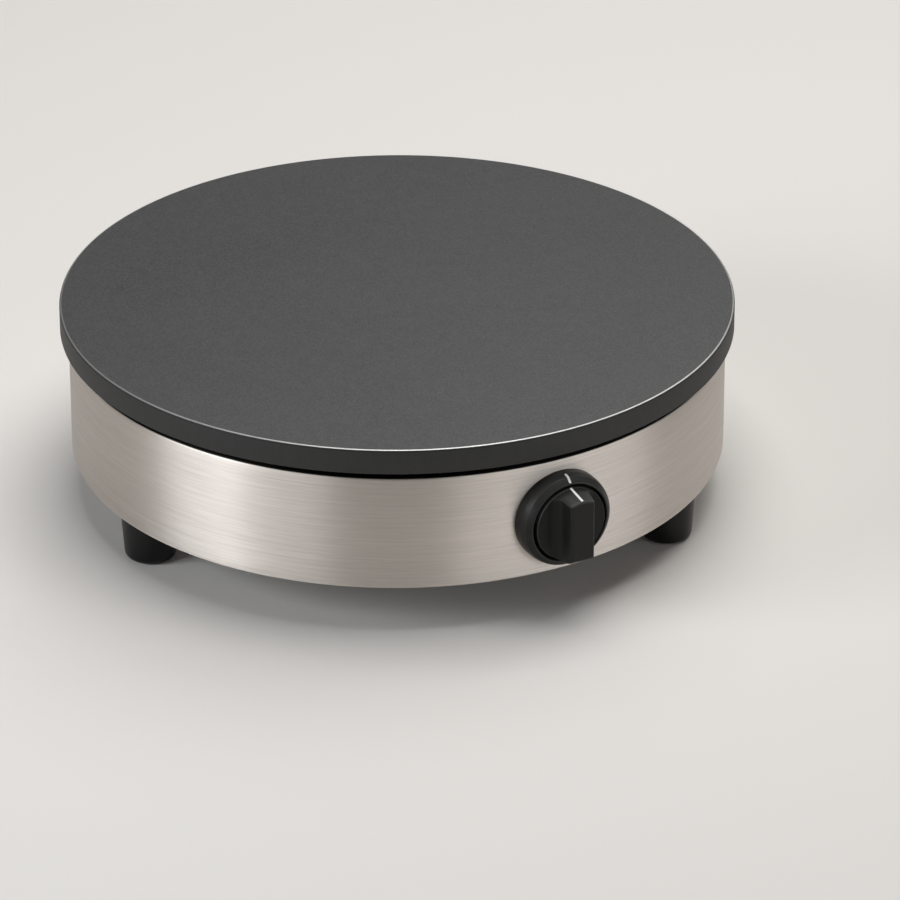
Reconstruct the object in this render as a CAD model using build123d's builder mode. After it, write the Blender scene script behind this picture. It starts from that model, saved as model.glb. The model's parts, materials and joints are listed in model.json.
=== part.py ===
from build123d import *
import os
from math import asin, atan2, cos, degrees, radians, sin, sqrt, tan

# Electric crepe maker: a round cast iron griddle on a brushed drum with three levelling feet.
# Millimetres. Origin on the floor under the griddle's axis, +Z up, front towards -Y.
# Angles are measured from the front towards +X, seen from above.

# ---- Driving dimensions ----

# griddle plate
plate_r = 200.0
plate_t = 15.2
plate_edge_r = 1.2
plate_under_chamfer = 0.3
plate_gap = 4.7              # open rebate between the drum and the griddle
boss_h = 3.0
boss_r = 11.0
stud_boss_r = 7.0
groove_depth = 3.0

# drum
skirt_r = 195.0
skirt_h = 71.8
skirt_t = 1.0
skirt_bend_r = 2.0
skirt_lip_w = 9.0
skirt_flange_w = 13.0

# base plate
base_t = 2.0
vent_l = 24.0
vent_w = 5.0
vent_pitch_r = 70.0
vent_count = 8
base_screw_r = 1.9
base_screw_head_r = 3.6
base_screw_head_h = 2.2
base_screw_head_round = 0.7
base_screw_len = 6.0
base_screw_spread = 25.0

# feet
foot_count = 3
foot_h = 28.4
foot_top_r = 17.0
foot_bottom_r = 15.0
foot_edge_r = 4.5
foot_top_edge_r = 0.7
foot_inset = 2.4             # from the drum's side to the foot's top edge
foot_travel = 8.0
foot_stud_r = 4.0
foot_stud_chamfer = 0.8
foot_stud_embed = 20.0
foot_nut_h = 6.5
foot_nut_flats = 13.0
foot_stud_spare = 1.5

# pillars that carry the griddle
pillar_r = 8.0
pillar_neck_r = 6.0
pillar_hole_depth = 14.0
plate_stud_r = 4.0
plate_stud_in_plate = 9.0
pillar_screw_r = 3.0
pillar_screw_head_r = 5.5
pillar_screw_head_h = 4.0
pillar_screw_head_chamfer = 0.8
pillar_screw_len = 12.0
pillar_key_flats = 5.0
pillar_key_depth = 2.4

# heating elements and what clamps them
inner_ring_r = 48.0
middle_ring_r = 97.0
outer_ring_gap = 26.0        # from the heat shield's rim to the middle of the outer tube
tube_r = 4.25
tube_end_r = 0.5
tube_bend_r = 12.0
terminal_angle = 150.0
leg_half_space = 14.0
leg_below_shield = 6.0
leg_hole_gap = 1.2
pin_r = 1.5
pin_len = 12.0
bead_r = 3.6
bead_h = 3.0
bus_w = 10.0
bus_t = 1.5
bus_corner_r = 3.0
bus_overhang = 8.0
bus_nut_flats = 5.5
bus_nut_h = 2.4
bar_angle = -15.0
bar_count = 3
bar_w = 20.0
bar_t = 3.0
bar_corner_r = 5.0
bar_past_ring = 14.0
bar_stud_r = 3.0
bar_stud_in_plate = 7.0
bar_stud_tail = 1.0
bar_nut_flats = 10.0
bar_nut_h = 5.0

# heat shield and insulation
shield_gap = 18.0            # from the drum's inner side to the shield's rim
shield_t = 1.0
shield_rim_h = 18.0
shield_bend_r = 3.0
blanket_t = 10.0
blanket_clear = 1.0
push_nut_r = 10.0
push_nut_t = 0.8

# knob and bezel
knob_angle = 24.2
knob_drop = 0.5              # knob axis below the drum's mid height
knob_r = 22.7
knob_front_r = 19.9
knob_front = 26.5            # bar's front face, out from the drum
knob_shoulder = 9.0
knob_rear = 1.9
knob_bar_half = 7.6
knob_bar_root_half = 7.9
knob_bar_foot = 17.8         # from the axis down to the bar's flat lower end, at its front
knob_scoop_floor = 12.7
knob_scoop_r = 6.0
knob_edge_r = 1.3
knob_hub_r = 6.5
knob_wall = 3.7              # round the recess in its rear
knob_recess_depth = 5.5
pointer_w = 1.5
pointer_depth = 0.6
pointer_start = 11.5
pointer_end = 25.2
bezel_gap = 1.2              # radial, between the knob and the bezel's lip
bezel_slope_w = 4.0
bezel_wall_w = 0.8
bezel_wall_h = 4.8
bezel_crease = 8.5
bezel_lip = 12.8
bezel_floor = 1.4
bezel_hole_r = 7.0
bezel_crease_round = 0.8
bezel_lip_round = 1.0
bezel_peg_r = 2.0
bezel_peg_pitch = 14.0
bezel_peg_len = 5.0
peg_nut_r = 4.5
peg_nut_t = 0.8
mark_w = 1.5
mark_depth = 0.5
mark_start = 5.3             # out from the drum
mark_end = 11.3

# thermostat
spindle_r = 3.0
spindle_flat = 1.6           # from the axis to the flat
spindle_flat_past_hub = 1.0
spindle_front = 15.0
spindle_in_body = 4.0
bush_r = 5.0
bush_len = 7.0
bracket_setback = 18.0       # bracket's front face, in from the drum
bracket_t = 1.5
bracket_w = 44.0
bracket_above = 10.0
bracket_foot = 16.0
thermostat_w = 34.0
thermostat_h = 20.0
thermostat_deep = 26.0
thermostat_corner_r = 2.4
thermostat_screw_half = 14.0
thermostat_screw_r = 2.0
thermostat_screw_head_r = 3.5
thermostat_screw_head_h = 2.2
thermostat_screw_head_round = 0.7
thermostat_screw_len = 8.0
bracket_screw_half = 14.0
blade_w = 6.3
blade_t = 0.8
blade_len = 8.0
blade_half_space = 8.0

# sensing bulb, capillary and limiter
bulb_r = 3.0
bulb_end_r = 1.5
bulb_len = 56.0
bulb_angle = 30.0
capillary_r = 0.9
capillary_clear = 2.5
capillary_tail = 16.0        # straight run from the bulb to where the capillary goes down
clip_w = 8.0
clip_t = 1.0
clip_ear = 9.0
clip_screw_r = 1.5
clip_screw_head_r = 2.8
clip_screw_head_h = 1.8
clip_screw_len = 6.0
limiter_angle = 80.0
limiter_setback = 75.0       # from the drum's side to the limiter's middle
limiter_r = 8.0
limiter_h = 9.0
limiter_flange_w = 30.0
limiter_flange_t = 1.0
limiter_screw_half = 12.0

# terminal block, gland and earth
block_angle = 150.0
block_setback = 37.0         # from the drum's side to the block's middle
block_w = 38.0
block_d = 20.0
block_h = 17.0
block_corner_r = 2.5
block_pole_space = 11.0
block_row_space = 10.0
block_hole_r = 2.2
block_hole_depth = 5.6
block_screw_r = 2.0
block_screw_head_r = 3.0
block_screw_head_h = 2.0
terminal_screw_h = 4.2
gland_angle = 180.0
gland_drop = 1.6             # gland axis below the drum's mid height
gland_thread_r = 10.0
gland_flats = 22.0
gland_washer_t = 1.6
gland_flange_t = 4.0
gland_dome_len = 6.4
gland_dome_r = 10.6
gland_inside = 12.0
gland_nut_t = 4.0
gland_nut_flats = 24.0
cord_hole_r = 4.5
seal_r = 7.0
earth_angle = 125.0
earth_setback = 27.0         # from the drum's side to the stud
earth_stud_r = 2.5
earth_stud_len = 14.0
earth_nut_flats = 8.0
earth_nut_h = 4.0
lead_r = 1.5
lead_tail = 14.0             # straight run of a lead from its terminal
lead_setback = 85.0          # from the drum's side to where the live lead runs round

# fits
thread_gap = 0.05            # radial, screw or stud in its hole
hole_gap = 0.3               # radial, clearance hole
seat_gap = 0.3               # between a foot and its seat
contact_gap = 0.1            # between curved faces of one body
soft_gap = 0.5
spin_gap = 0.05              # radial, spindle in its bush


# ---- Heights and distances worked out from the sizes ----

skirt_bottom_z = foot_h + seat_gap
base_under_z = skirt_bottom_z + skirt_t
base_top_z = base_under_z + base_t
skirt_top_z = skirt_bottom_z + skirt_h
plate_under_z = skirt_top_z + plate_gap
plate_top_z = plate_under_z + plate_t
boss_under_z = plate_under_z - boss_h
ring_z = plate_under_z + groove_depth - contact_gap - tube_r
bar_top_z = ring_z - tube_r - contact_gap
bar_under_z = bar_top_z - bar_t
bar_stud_end_z = bar_under_z - bar_nut_h - bar_stud_tail
blanket_top_z = bar_stud_end_z - blanket_clear
blanket_under_z = blanket_top_z - blanket_t
shield_top_z = blanket_under_z - soft_gap
shield_under_z = shield_top_z - shield_t
leg_end_z = shield_under_z - leg_below_shield
bus_top_z = leg_end_z - bead_h
bus_under_z = bus_top_z - bus_t
knob_z = skirt_bottom_z + skirt_h / 2 - knob_drop
gland_z = skirt_bottom_z + skirt_h / 2 - gland_drop

foot_pitch_r = skirt_r - foot_inset - foot_top_r
flange_inner_r = skirt_r - skirt_flange_w
base_r = skirt_r - skirt_bend_r - soft_gap
base_screw_pitch_r = (flange_inner_r + base_r) / 2
shield_r = skirt_r - skirt_t - shield_gap
outer_ring_r = shield_r - outer_ring_gap
ring_radii = [inner_ring_r, middle_ring_r, outer_ring_r]
bulb_pitch_r = (inner_ring_r + middle_ring_r) / 2
pillar_pitch_r = (middle_ring_r + outer_ring_r) / 2
bar_stud_pitch = [bulb_pitch_r, pillar_pitch_r]
bar_inner_r = inner_ring_r - bar_past_ring
bar_outer_r = outer_ring_r + bar_past_ring
limiter_pitch_r = skirt_r - limiter_setback
lead_ring_r = skirt_r - lead_setback
bracket_foot_r = skirt_r - bracket_setback - bracket_t - bracket_foot / 2
block_pitch_r = skirt_r - block_setback
earth_pitch_r = skirt_r - earth_setback
clip_screw_half = bulb_r + clip_ear / 2
knob_recess_r = knob_r - knob_wall
bezel_lip_r = knob_r + bezel_gap
bezel_crease_r = bezel_lip_r + bezel_slope_w
bezel_r = bezel_crease_r + bezel_wall_w
drum_cut_h = 2 * plate_top_z


# ---- Places ----

def outward(angle):
    """Direction away from the axis at this angle from the front."""
    return Vector(sin(radians(angle)), -cos(radians(angle)), 0)


def sideways(angle):
    """Direction along the drum at this angle, anticlockwise from above."""
    return Vector(cos(radians(angle)), sin(radians(angle)), 0)


def wall_plane(angle, radius, z):
    """Upright plane that faces outwards: x runs along the drum, y is up."""
    origin = outward(angle) * radius + Vector(0, 0, z)
    return Plane(origin=origin, x_dir=sideways(angle), z_dir=outward(angle))


def floor_plane(angle, radius, z):
    """Level plane: x runs along the drum, y points to the axis."""
    origin = outward(angle) * radius + Vector(0, 0, z)
    return Plane(origin=origin, x_dir=sideways(angle), z_dir=(0, 0, 1))


def around(radius, count, angle):
    """Equal places round the axis, the first at this angle from the front."""
    return PolarLocations(radius, count, start_angle=angle - 90)


def hex_radius(flats):
    return flats / 2 / cos(radians(30))


foot_first_angle = -180 / foot_count
foot_step = 360 / foot_count
knob_face = wall_plane(knob_angle, skirt_r, knob_z)
knob_out = outward(knob_angle)
knob_side = sideways(knob_angle)
knob_profile = Plane(origin=knob_face.origin, x_dir=knob_side, z_dir=(0, 0, -1))
knob_section = Plane(origin=knob_face.origin, x_dir=(0, 0, 1), z_dir=knob_side)
knob_axis = Axis(knob_face.origin, knob_out)
gland_face = wall_plane(gland_angle, skirt_r, gland_z)


# ---- Griddle ----

with BuildPart() as griddle_plate:
    with BuildSketch(Plane.XY.offset(plate_under_z)):
        Circle(plate_r)
    extrude(amount=plate_t)
    fillet(griddle_plate.edges().group_by(Axis.Z)[-1], radius=plate_edge_r)
    chamfer(griddle_plate.edges().group_by(Axis.Z)[0], length=plate_under_chamfer)
    with BuildSketch(Plane.XY.offset(boss_under_z)):
        with around(pillar_pitch_r, foot_count, foot_first_angle):
            Circle(boss_r)
        for pitch in bar_stud_pitch:
            with around(pitch, bar_count, bar_angle):
                Circle(stud_boss_r)
    extrude(amount=boss_h)
    with BuildSketch(Plane.XY.offset(plate_under_z)):
        for ring_r in reversed(ring_radii):
            Circle(ring_r + tube_r + hole_gap)
            Circle(ring_r - tube_r - hole_gap, mode=Mode.SUBTRACT)
    extrude(amount=groove_depth, mode=Mode.SUBTRACT)
    with BuildSketch(Plane.XY.offset(boss_under_z)):
        with around(pillar_pitch_r, foot_count, foot_first_angle):
            Circle(plate_stud_r + thread_gap)
    extrude(amount=plate_stud_in_plate + thread_gap, mode=Mode.SUBTRACT)
    with BuildSketch(Plane.XY.offset(boss_under_z)):
        for pitch in bar_stud_pitch:
            with around(pitch, bar_count, bar_angle):
                Circle(bar_stud_r + thread_gap)
    extrude(amount=bar_stud_in_plate + thread_gap, mode=Mode.SUBTRACT)
    with BuildSketch(floor_plane(bulb_angle, bulb_pitch_r, plate_under_z)):
        with GridLocations(0, 2 * clip_screw_half, 1, 2):
            Circle(clip_screw_r + thread_gap)
    extrude(amount=clip_screw_len, mode=Mode.SUBTRACT)

with BuildPart() as plate_studs:
    with BuildSketch(Plane.XY.offset(boss_under_z - pillar_hole_depth + thread_gap)):
        with around(pillar_pitch_r, foot_count, foot_first_angle):
            Circle(plate_stud_r)
    extrude(amount=pillar_hole_depth + plate_stud_in_plate - thread_gap)

with BuildPart() as support_pillars:
    with BuildSketch(Plane.XY.offset(base_top_z)):
        with around(pillar_pitch_r, foot_count, foot_first_angle):
            Circle(pillar_r)
    extrude(amount=shield_under_z - base_top_z)
    with BuildSketch(Plane.XY.offset(shield_under_z)):
        with around(pillar_pitch_r, foot_count, foot_first_angle):
            Circle(pillar_neck_r)
    extrude(amount=boss_under_z - shield_under_z)
    with BuildSketch(Plane.XY.offset(boss_under_z)):
        with around(pillar_pitch_r, foot_count, foot_first_angle):
            Circle(plate_stud_r + thread_gap)
    extrude(amount=-pillar_hole_depth, mode=Mode.SUBTRACT)
    with BuildSketch(Plane.XY.offset(base_top_z)):
        with around(pillar_pitch_r, foot_count, foot_first_angle):
            Circle(pillar_screw_r + thread_gap)
    extrude(amount=pillar_screw_len, mode=Mode.SUBTRACT)

with BuildPart() as pillar_screws:
    with BuildSketch(Plane.XY.offset(base_under_z)):
        with around(pillar_pitch_r, foot_count, foot_first_angle):
            Circle(pillar_screw_head_r)
    extrude(amount=-pillar_screw_head_h)
    chamfer(pillar_screws.edges().group_by(Axis.Z)[0], length=pillar_screw_head_chamfer)
    with BuildSketch(Plane.XY.offset(base_under_z)):
        with around(pillar_pitch_r, foot_count, foot_first_angle):
            Circle(pillar_screw_r)
    extrude(amount=base_t + pillar_screw_len - thread_gap)
    with BuildSketch(Plane.XY.offset(base_under_z - pillar_screw_head_h)):
        with around(pillar_pitch_r, foot_count, foot_first_angle):
            RegularPolygon(hex_radius(pillar_key_flats), 6)
    extrude(amount=pillar_key_depth, mode=Mode.SUBTRACT)


# ---- Heating elements ----

def leg_distance(ring_r):
    """Distance of an element's legs from the axis, along the terminal direction."""
    return sqrt(ring_r**2 + tube_bend_r**2 - leg_half_space**2)


def make_element(ring_r):
    """A ring of tube whose two ends turn down side by side."""
    half_gap = asin(leg_half_space / sqrt(ring_r**2 + tube_bend_r**2)) + atan2(tube_bend_r, ring_r)
    ring_plane = Plane(origin=(0, 0, ring_z), x_dir=outward(terminal_angle), z_dir=(0, 0, 1))
    leg_top = -tube_bend_r
    leg_bottom = leg_end_z - ring_z
    leg_x = leg_distance(ring_r)
    with BuildPart() as element:
        with BuildLine(ring_plane) as path:
            for side in (1, -1):
                end = Vector(ring_r * cos(half_gap), side * ring_r * sin(half_gap), 0)
                ahead = Vector(sin(half_gap), -side * cos(half_gap), 0)
                drop = Vector(0, 0, -tube_bend_r * (1 - cos(radians(45))))
                middle = end + ahead * (tube_bend_r * sin(radians(45))) + drop
                corner = (leg_x, side * leg_half_space, leg_top)
                ThreePointArc(tuple(end), tuple(middle), corner)
                Line(corner, (leg_x, side * leg_half_space, leg_bottom))
            CenterArc((0, 0, 0), ring_r, degrees(half_gap), 360 - 2 * degrees(half_gap))
        leg_foot = ring_plane.from_local_coords(Vector(leg_x, leg_half_space, leg_bottom))
        with BuildSketch(Plane(origin=leg_foot, z_dir=(0, 0, 1))):
            Circle(tube_r)
        sweep(path=path.wire())
        fillet(element.faces().filter_by(Plane.XY).edges(), radius=tube_end_r)
    return element


element_inner = make_element(inner_ring_r)
element_middle = make_element(middle_ring_r)
element_outer = make_element(outer_ring_r)

leg_places = [
    (leg_distance(ring_r), side * leg_half_space)
    for ring_r in ring_radii
    for side in (1, -1)
]


def leg_plane(z):
    """Level plane whose x axis points in the terminal direction."""
    return Plane(origin=(0, 0, z), x_dir=outward(terminal_angle), z_dir=(0, 0, 1))


with BuildPart() as element_pins:
    with BuildSketch(leg_plane(leg_end_z)):
        with Locations(*leg_places):
            Circle(pin_r)
    extrude(amount=-pin_len)

with BuildPart() as element_beads:
    with BuildSketch(leg_plane(leg_end_z)):
        with Locations(*leg_places):
            Circle(bead_r)
            Circle(pin_r + thread_gap, mode=Mode.SUBTRACT)
    extrude(amount=-bead_h)

bus_start = leg_distance(inner_ring_r) - bus_overhang
bus_end = leg_distance(outer_ring_r) + bus_overhang


def make_bus_bar(side):
    """A strip that links one end of every element."""
    with BuildPart() as bus_bar:
        with BuildSketch(leg_plane(bus_top_z)):
            with Locations(((bus_start + bus_end) / 2, side * leg_half_space)):
                RectangleRounded(bus_end - bus_start, bus_w, bus_corner_r)
            with Locations(*[place for place in leg_places if place[1] * side > 0]):
                Circle(pin_r + thread_gap, mode=Mode.SUBTRACT)
        extrude(amount=-bus_t)
    return bus_bar


live_bus_bar = make_bus_bar(-1)
neutral_bus_bar = make_bus_bar(1)

with BuildPart() as bus_nuts:
    with BuildSketch(leg_plane(bus_under_z)):
        with Locations(*leg_places):
            RegularPolygon(hex_radius(bus_nut_flats), 6)
            Circle(pin_r + thread_gap, mode=Mode.SUBTRACT)
    extrude(amount=-bus_nut_h)

with BuildPart() as clamp_bars:
    with BuildSketch(Plane.XY.offset(bar_under_z)):
        with around((bar_inner_r + bar_outer_r) / 2, bar_count, bar_angle):
            RectangleRounded(bar_outer_r - bar_inner_r, bar_w, bar_corner_r)
        for pitch in bar_stud_pitch:
            with around(pitch, bar_count, bar_angle):
                Circle(bar_stud_r + hole_gap, mode=Mode.SUBTRACT)
    extrude(amount=bar_t)

with BuildPart() as clamp_studs:
    with BuildSketch(Plane.XY.offset(bar_stud_end_z)):
        for pitch in bar_stud_pitch:
            with around(pitch, bar_count, bar_angle):
                Circle(bar_stud_r)
    extrude(amount=boss_under_z + bar_stud_in_plate - bar_stud_end_z)

with BuildPart() as clamp_nuts:
    with BuildSketch(Plane.XY.offset(bar_under_z)):
        for pitch in bar_stud_pitch:
            with around(pitch, bar_count, bar_angle):
                RegularPolygon(hex_radius(bar_nut_flats), 6)
                Circle(bar_stud_r + thread_gap, mode=Mode.SUBTRACT)
    extrude(amount=-bar_nut_h)


# ---- Heat shield and insulation ----

capillary_hole_r = capillary_r + capillary_clear
capillary_drop = -bulb_len / 2 - capillary_tail     # where the capillary goes down, along from the bulb

with BuildPart() as heat_shield:
    with BuildSketch(Plane.XZ):
        with BuildLine():
            FilletPolyline(
                (0, shield_under_z + shield_t / 2),
                (shield_r - shield_t / 2, shield_under_z + shield_t / 2),
                (shield_r - shield_t / 2, shield_under_z + shield_rim_h),
                radius=shield_bend_r - shield_t / 2,
            )
        trace(line_width=shield_t)
        split(bisect_by=Plane.YZ, keep=Keep.TOP)
    revolve(axis=Axis.Z)
    with BuildSketch(Plane.XY.offset(shield_under_z)):
        with around(pillar_pitch_r, foot_count, foot_first_angle):
            Circle(pillar_neck_r + hole_gap)
    extrude(amount=shield_t, mode=Mode.SUBTRACT)
    with BuildSketch(leg_plane(shield_under_z)):
        with Locations(*leg_places):
            Circle(tube_r + leg_hole_gap)
    extrude(amount=shield_t, mode=Mode.SUBTRACT)
    with BuildSketch(floor_plane(bulb_angle, bulb_pitch_r, shield_under_z)):
        with Locations((capillary_drop, 0)):
            Circle(capillary_hole_r)
    extrude(amount=shield_t, mode=Mode.SUBTRACT)
    with BuildSketch(floor_plane(limiter_angle, limiter_pitch_r, shield_under_z)):
        with GridLocations(2 * limiter_screw_half, 0, 2, 1):
            Circle(clip_screw_r + thread_gap)
    extrude(amount=shield_t, mode=Mode.SUBTRACT)

with BuildPart() as insulation_blanket:
    with BuildSketch(Plane.XY.offset(blanket_under_z)):
        Circle(shield_r - shield_bend_r - soft_gap)
        with around(pillar_pitch_r, foot_count, foot_first_angle):
            Circle(push_nut_r + soft_gap, mode=Mode.SUBTRACT)
    extrude(amount=blanket_t)
    with BuildSketch(leg_plane(blanket_under_z)):
        with Locations(*leg_places):
            Circle(tube_r + soft_gap)
    extrude(amount=blanket_t, mode=Mode.SUBTRACT)
    with BuildSketch(floor_plane(bulb_angle, bulb_pitch_r, blanket_under_z)):
        with Locations((capillary_drop, 0)):
            Circle(capillary_hole_r)
    extrude(amount=blanket_t, mode=Mode.SUBTRACT)
    with BuildSketch(floor_plane(limiter_angle, limiter_pitch_r, blanket_under_z)):
        with GridLocations(2 * limiter_screw_half, 0, 2, 1):
            Circle(clip_screw_head_r)
    extrude(amount=blanket_t / 2, mode=Mode.SUBTRACT)

with BuildPart() as shield_push_nuts:
    with BuildSketch(Plane.XY.offset(shield_top_z)):
        with around(pillar_pitch_r, foot_count, foot_first_angle):
            Circle(push_nut_r)
            Circle(pillar_neck_r + thread_gap, mode=Mode.SUBTRACT)
    extrude(amount=push_nut_t)


# ---- Drum and base ----

with BuildPart() as body_skirt:
    with BuildSketch(Plane.XZ):
        with BuildLine():
            FilletPolyline(
                (flange_inner_r, skirt_bottom_z + skirt_t / 2),
                (skirt_r - skirt_t / 2, skirt_bottom_z + skirt_t / 2),
                (skirt_r - skirt_t / 2, skirt_top_z - skirt_t / 2),
                (skirt_r - skirt_lip_w, skirt_top_z - skirt_t / 2),
                radius=skirt_bend_r - skirt_t / 2,
            )
        trace(line_width=skirt_t)
    revolve(axis=Axis.Z)
    with BuildSketch(knob_face):
        Circle(bezel_hole_r)
        with GridLocations(0, 2 * bezel_peg_pitch, 1, 2):
            Circle(bezel_peg_r + thread_gap)
    extrude(amount=2 * skirt_t, both=True, mode=Mode.SUBTRACT)
    with BuildSketch(gland_face):
        Circle(gland_thread_r + thread_gap)
    extrude(amount=2 * skirt_t, both=True, mode=Mode.SUBTRACT)
    with BuildSketch(Plane.XY.offset(skirt_bottom_z)):
        for spread in (base_screw_spread, -base_screw_spread):
            with around(base_screw_pitch_r, foot_count, spread):
                Circle(base_screw_r + hole_gap)
    extrude(amount=skirt_t, mode=Mode.SUBTRACT)

with BuildPart() as base_plate:
    with BuildSketch(Plane.XY.offset(base_under_z)):
        Circle(base_r)
        with around(foot_pitch_r, foot_count, foot_first_angle):
            Circle(foot_stud_r + hole_gap, mode=Mode.SUBTRACT)
        with around(pillar_pitch_r, foot_count, foot_first_angle):
            Circle(pillar_screw_r + hole_gap, mode=Mode.SUBTRACT)
        for spread in (base_screw_spread, -base_screw_spread):
            with around(base_screw_pitch_r, foot_count, spread):
                Circle(base_screw_r + thread_gap, mode=Mode.SUBTRACT)
        with around(vent_pitch_r, vent_count, foot_step / 2):
            SlotOverall(vent_l, vent_w, mode=Mode.SUBTRACT)
    extrude(amount=base_t)
    with BuildSketch(floor_plane(knob_angle, bracket_foot_r, base_under_z)):
        with GridLocations(2 * bracket_screw_half, 0, 2, 1):
            Circle(thermostat_screw_r + thread_gap)
    extrude(amount=base_t, mode=Mode.SUBTRACT)
    with BuildSketch(floor_plane(block_angle, block_pitch_r, base_under_z)):
        with GridLocations(block_pole_space, 0, 2, 1):
            Circle(block_screw_r + thread_gap)
    extrude(amount=base_t, mode=Mode.SUBTRACT)
    with BuildSketch(floor_plane(earth_angle, earth_pitch_r, base_under_z)):
        Circle(earth_stud_r + thread_gap)
    extrude(amount=base_t, mode=Mode.SUBTRACT)

with BuildPart() as base_screws:
    for spread in (base_screw_spread, -base_screw_spread):
        with BuildSketch(Plane.XY.offset(skirt_bottom_z)):
            with around(base_screw_pitch_r, foot_count, spread):
                Circle(base_screw_head_r)
        extrude(amount=-base_screw_head_h)
    fillet(base_screws.edges().group_by(Axis.Z)[0], radius=base_screw_head_round)
    for spread in (base_screw_spread, -base_screw_spread):
        with BuildSketch(Plane.XY.offset(skirt_bottom_z)):
            with around(base_screw_pitch_r, foot_count, spread):
                Circle(base_screw_r)
        extrude(amount=base_screw_len)


# ---- Levelling feet ----

def make_foot(angle):
    """A tapered foot that rests on the floor, with a socket for its stud."""
    place = floor_plane(angle, foot_pitch_r, 0)
    with BuildPart() as foot:
        with BuildSketch(place):
            Circle(foot_bottom_r)
        with BuildSketch(place.offset(foot_h)):
            Circle(foot_top_r)
        loft()
        fillet(foot.edges().group_by(Axis.Z)[0], radius=foot_edge_r)
        fillet(foot.edges().group_by(Axis.Z)[-1], radius=foot_top_edge_r)
        with BuildSketch(place.offset(foot_h)):
            Circle(foot_stud_r + thread_gap)
        extrude(amount=-foot_stud_embed, mode=Mode.SUBTRACT)
    return foot


foot_stud_top_z = base_top_z + foot_nut_h + foot_travel + foot_stud_spare


def make_foot_stud(angle):
    """The threaded stud that is moulded into a foot."""
    stud_bottom_z = foot_h - foot_stud_embed
    with BuildPart() as foot_stud:
        with BuildSketch(floor_plane(angle, foot_pitch_r, stud_bottom_z)):
            Circle(foot_stud_r)
        extrude(amount=foot_stud_top_z - stud_bottom_z)
        chamfer(foot_stud.edges().group_by(Axis.Z)[-1], length=foot_stud_chamfer)
    return foot_stud


foot_front_left = make_foot(foot_first_angle)
foot_front_right = make_foot(foot_first_angle + foot_step)
foot_rear = make_foot(foot_first_angle + 2 * foot_step)
foot_stud_front_left = make_foot_stud(foot_first_angle)
foot_stud_front_right = make_foot_stud(foot_first_angle + foot_step)
foot_stud_rear = make_foot_stud(foot_first_angle + 2 * foot_step)

with BuildPart() as foot_nuts:
    with BuildSketch(Plane.XY.offset(base_top_z)):
        with around(foot_pitch_r, foot_count, foot_first_angle):
            RegularPolygon(hex_radius(foot_nut_flats), 6)
            Circle(foot_stud_r + thread_gap, mode=Mode.SUBTRACT)
    extrude(amount=foot_nut_h)


# ---- Knob and bezel ----

def knob_radius(out):
    """Radius of the knob's tapered side at this distance out from the drum."""
    share = (out - knob_shoulder) / (knob_front - knob_shoulder)
    return knob_r + (knob_front_r - knob_r) * share


def strip_profile(radius_at, stations, depth):
    """Sketch of a thin strip let into a surface, its outer face flush with it."""
    outer = [(radius_at(out), out) for out in stations]
    inner = [(radius - depth, out) for radius, out in reversed(outer)]
    with BuildSketch(knob_section) as strip:
        with BuildLine():
            Polyline(*outer, *inner, close=True)
        make_face()
    return strip.sketch


pointer_profile = strip_profile(knob_radius, [pointer_start, pointer_end], pointer_depth)

with BuildPart() as knob:
    with BuildSketch(knob_profile):
        with BuildLine():
            Polyline(
                (0, knob_rear),
                (knob_r, knob_rear),
                (knob_r, knob_shoulder),
                (knob_front_r, knob_front),
                (0, knob_front),
                close=True,
            )
        make_face()
    revolve(axis=knob_axis)
    for side in (1, -1):
        with BuildSketch(knob_profile):
            with BuildLine():
                scoop_start = (side * (knob_bar_root_half + knob_scoop_r), knob_scoop_floor)
                scoop_end = (side * knob_bar_root_half, knob_scoop_floor + knob_scoop_r)
                scoop_edge = side * (knob_r + knob_scoop_r)
                Line((scoop_edge, knob_scoop_floor), scoop_start)
                RadiusArc(scoop_start, scoop_end, side * knob_scoop_r)
                Polyline(
                    scoop_end,
                    (side * knob_bar_half, knob_front),
                    (side * knob_bar_half, knob_front + knob_scoop_r),
                    (scoop_edge, knob_front + knob_scoop_r),
                    (scoop_edge, knob_scoop_floor),
                )
            make_face()
        extrude(amount=2 * knob_r, both=True, mode=Mode.SUBTRACT)
    with BuildSketch(knob_section):
        with BuildLine():
            Polyline(
                (-knob_radius(knob_scoop_floor), knob_scoop_floor),
                (-knob_bar_foot, knob_front),
                (-2 * knob_r, knob_front),
                (-2 * knob_r, knob_scoop_floor),
                close=True,
            )
        make_face()
    extrude(amount=knob_r, both=True, mode=Mode.SUBTRACT)
    fillet(knob.faces().sort_by(knob_axis)[-1].edges(), radius=knob_edge_r)
    with BuildSketch(knob_face.offset(knob_rear)):
        Circle(knob_recess_r)
        Circle(knob_hub_r, mode=Mode.SUBTRACT)
    extrude(amount=knob_recess_depth, mode=Mode.SUBTRACT)
    with BuildSketch(knob_face.offset(knob_rear)):
        Circle(spindle_r + thread_gap)
        with Locations((0, spindle_flat + thread_gap)):
            Rectangle(2 * knob_hub_r, 2 * spindle_r, align=(Align.CENTER, Align.MIN), mode=Mode.SUBTRACT)
    extrude(amount=spindle_front - knob_rear + thread_gap, mode=Mode.SUBTRACT)
    extrude(pointer_profile, amount=pointer_w / 2, both=True, mode=Mode.SUBTRACT)

with BuildPart() as knob_pointer:
    extrude(pointer_profile, amount=pointer_w / 2 - thread_gap, both=True)


def bezel_radius(out):
    """Radius of the bezel's outside at this distance out from the drum, beyond its straight wall."""
    if out < bezel_crease:
        share = (out - bezel_wall_h) / (bezel_crease - bezel_wall_h)
        return bezel_r + (bezel_crease_r - bezel_r) * share
    share = (out - bezel_crease) / (bezel_lip - bezel_crease)
    return bezel_crease_r + (bezel_lip_r - bezel_crease_r) * share


mark_profile = strip_profile(bezel_radius, [mark_start, bezel_crease, mark_end], mark_depth)

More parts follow.
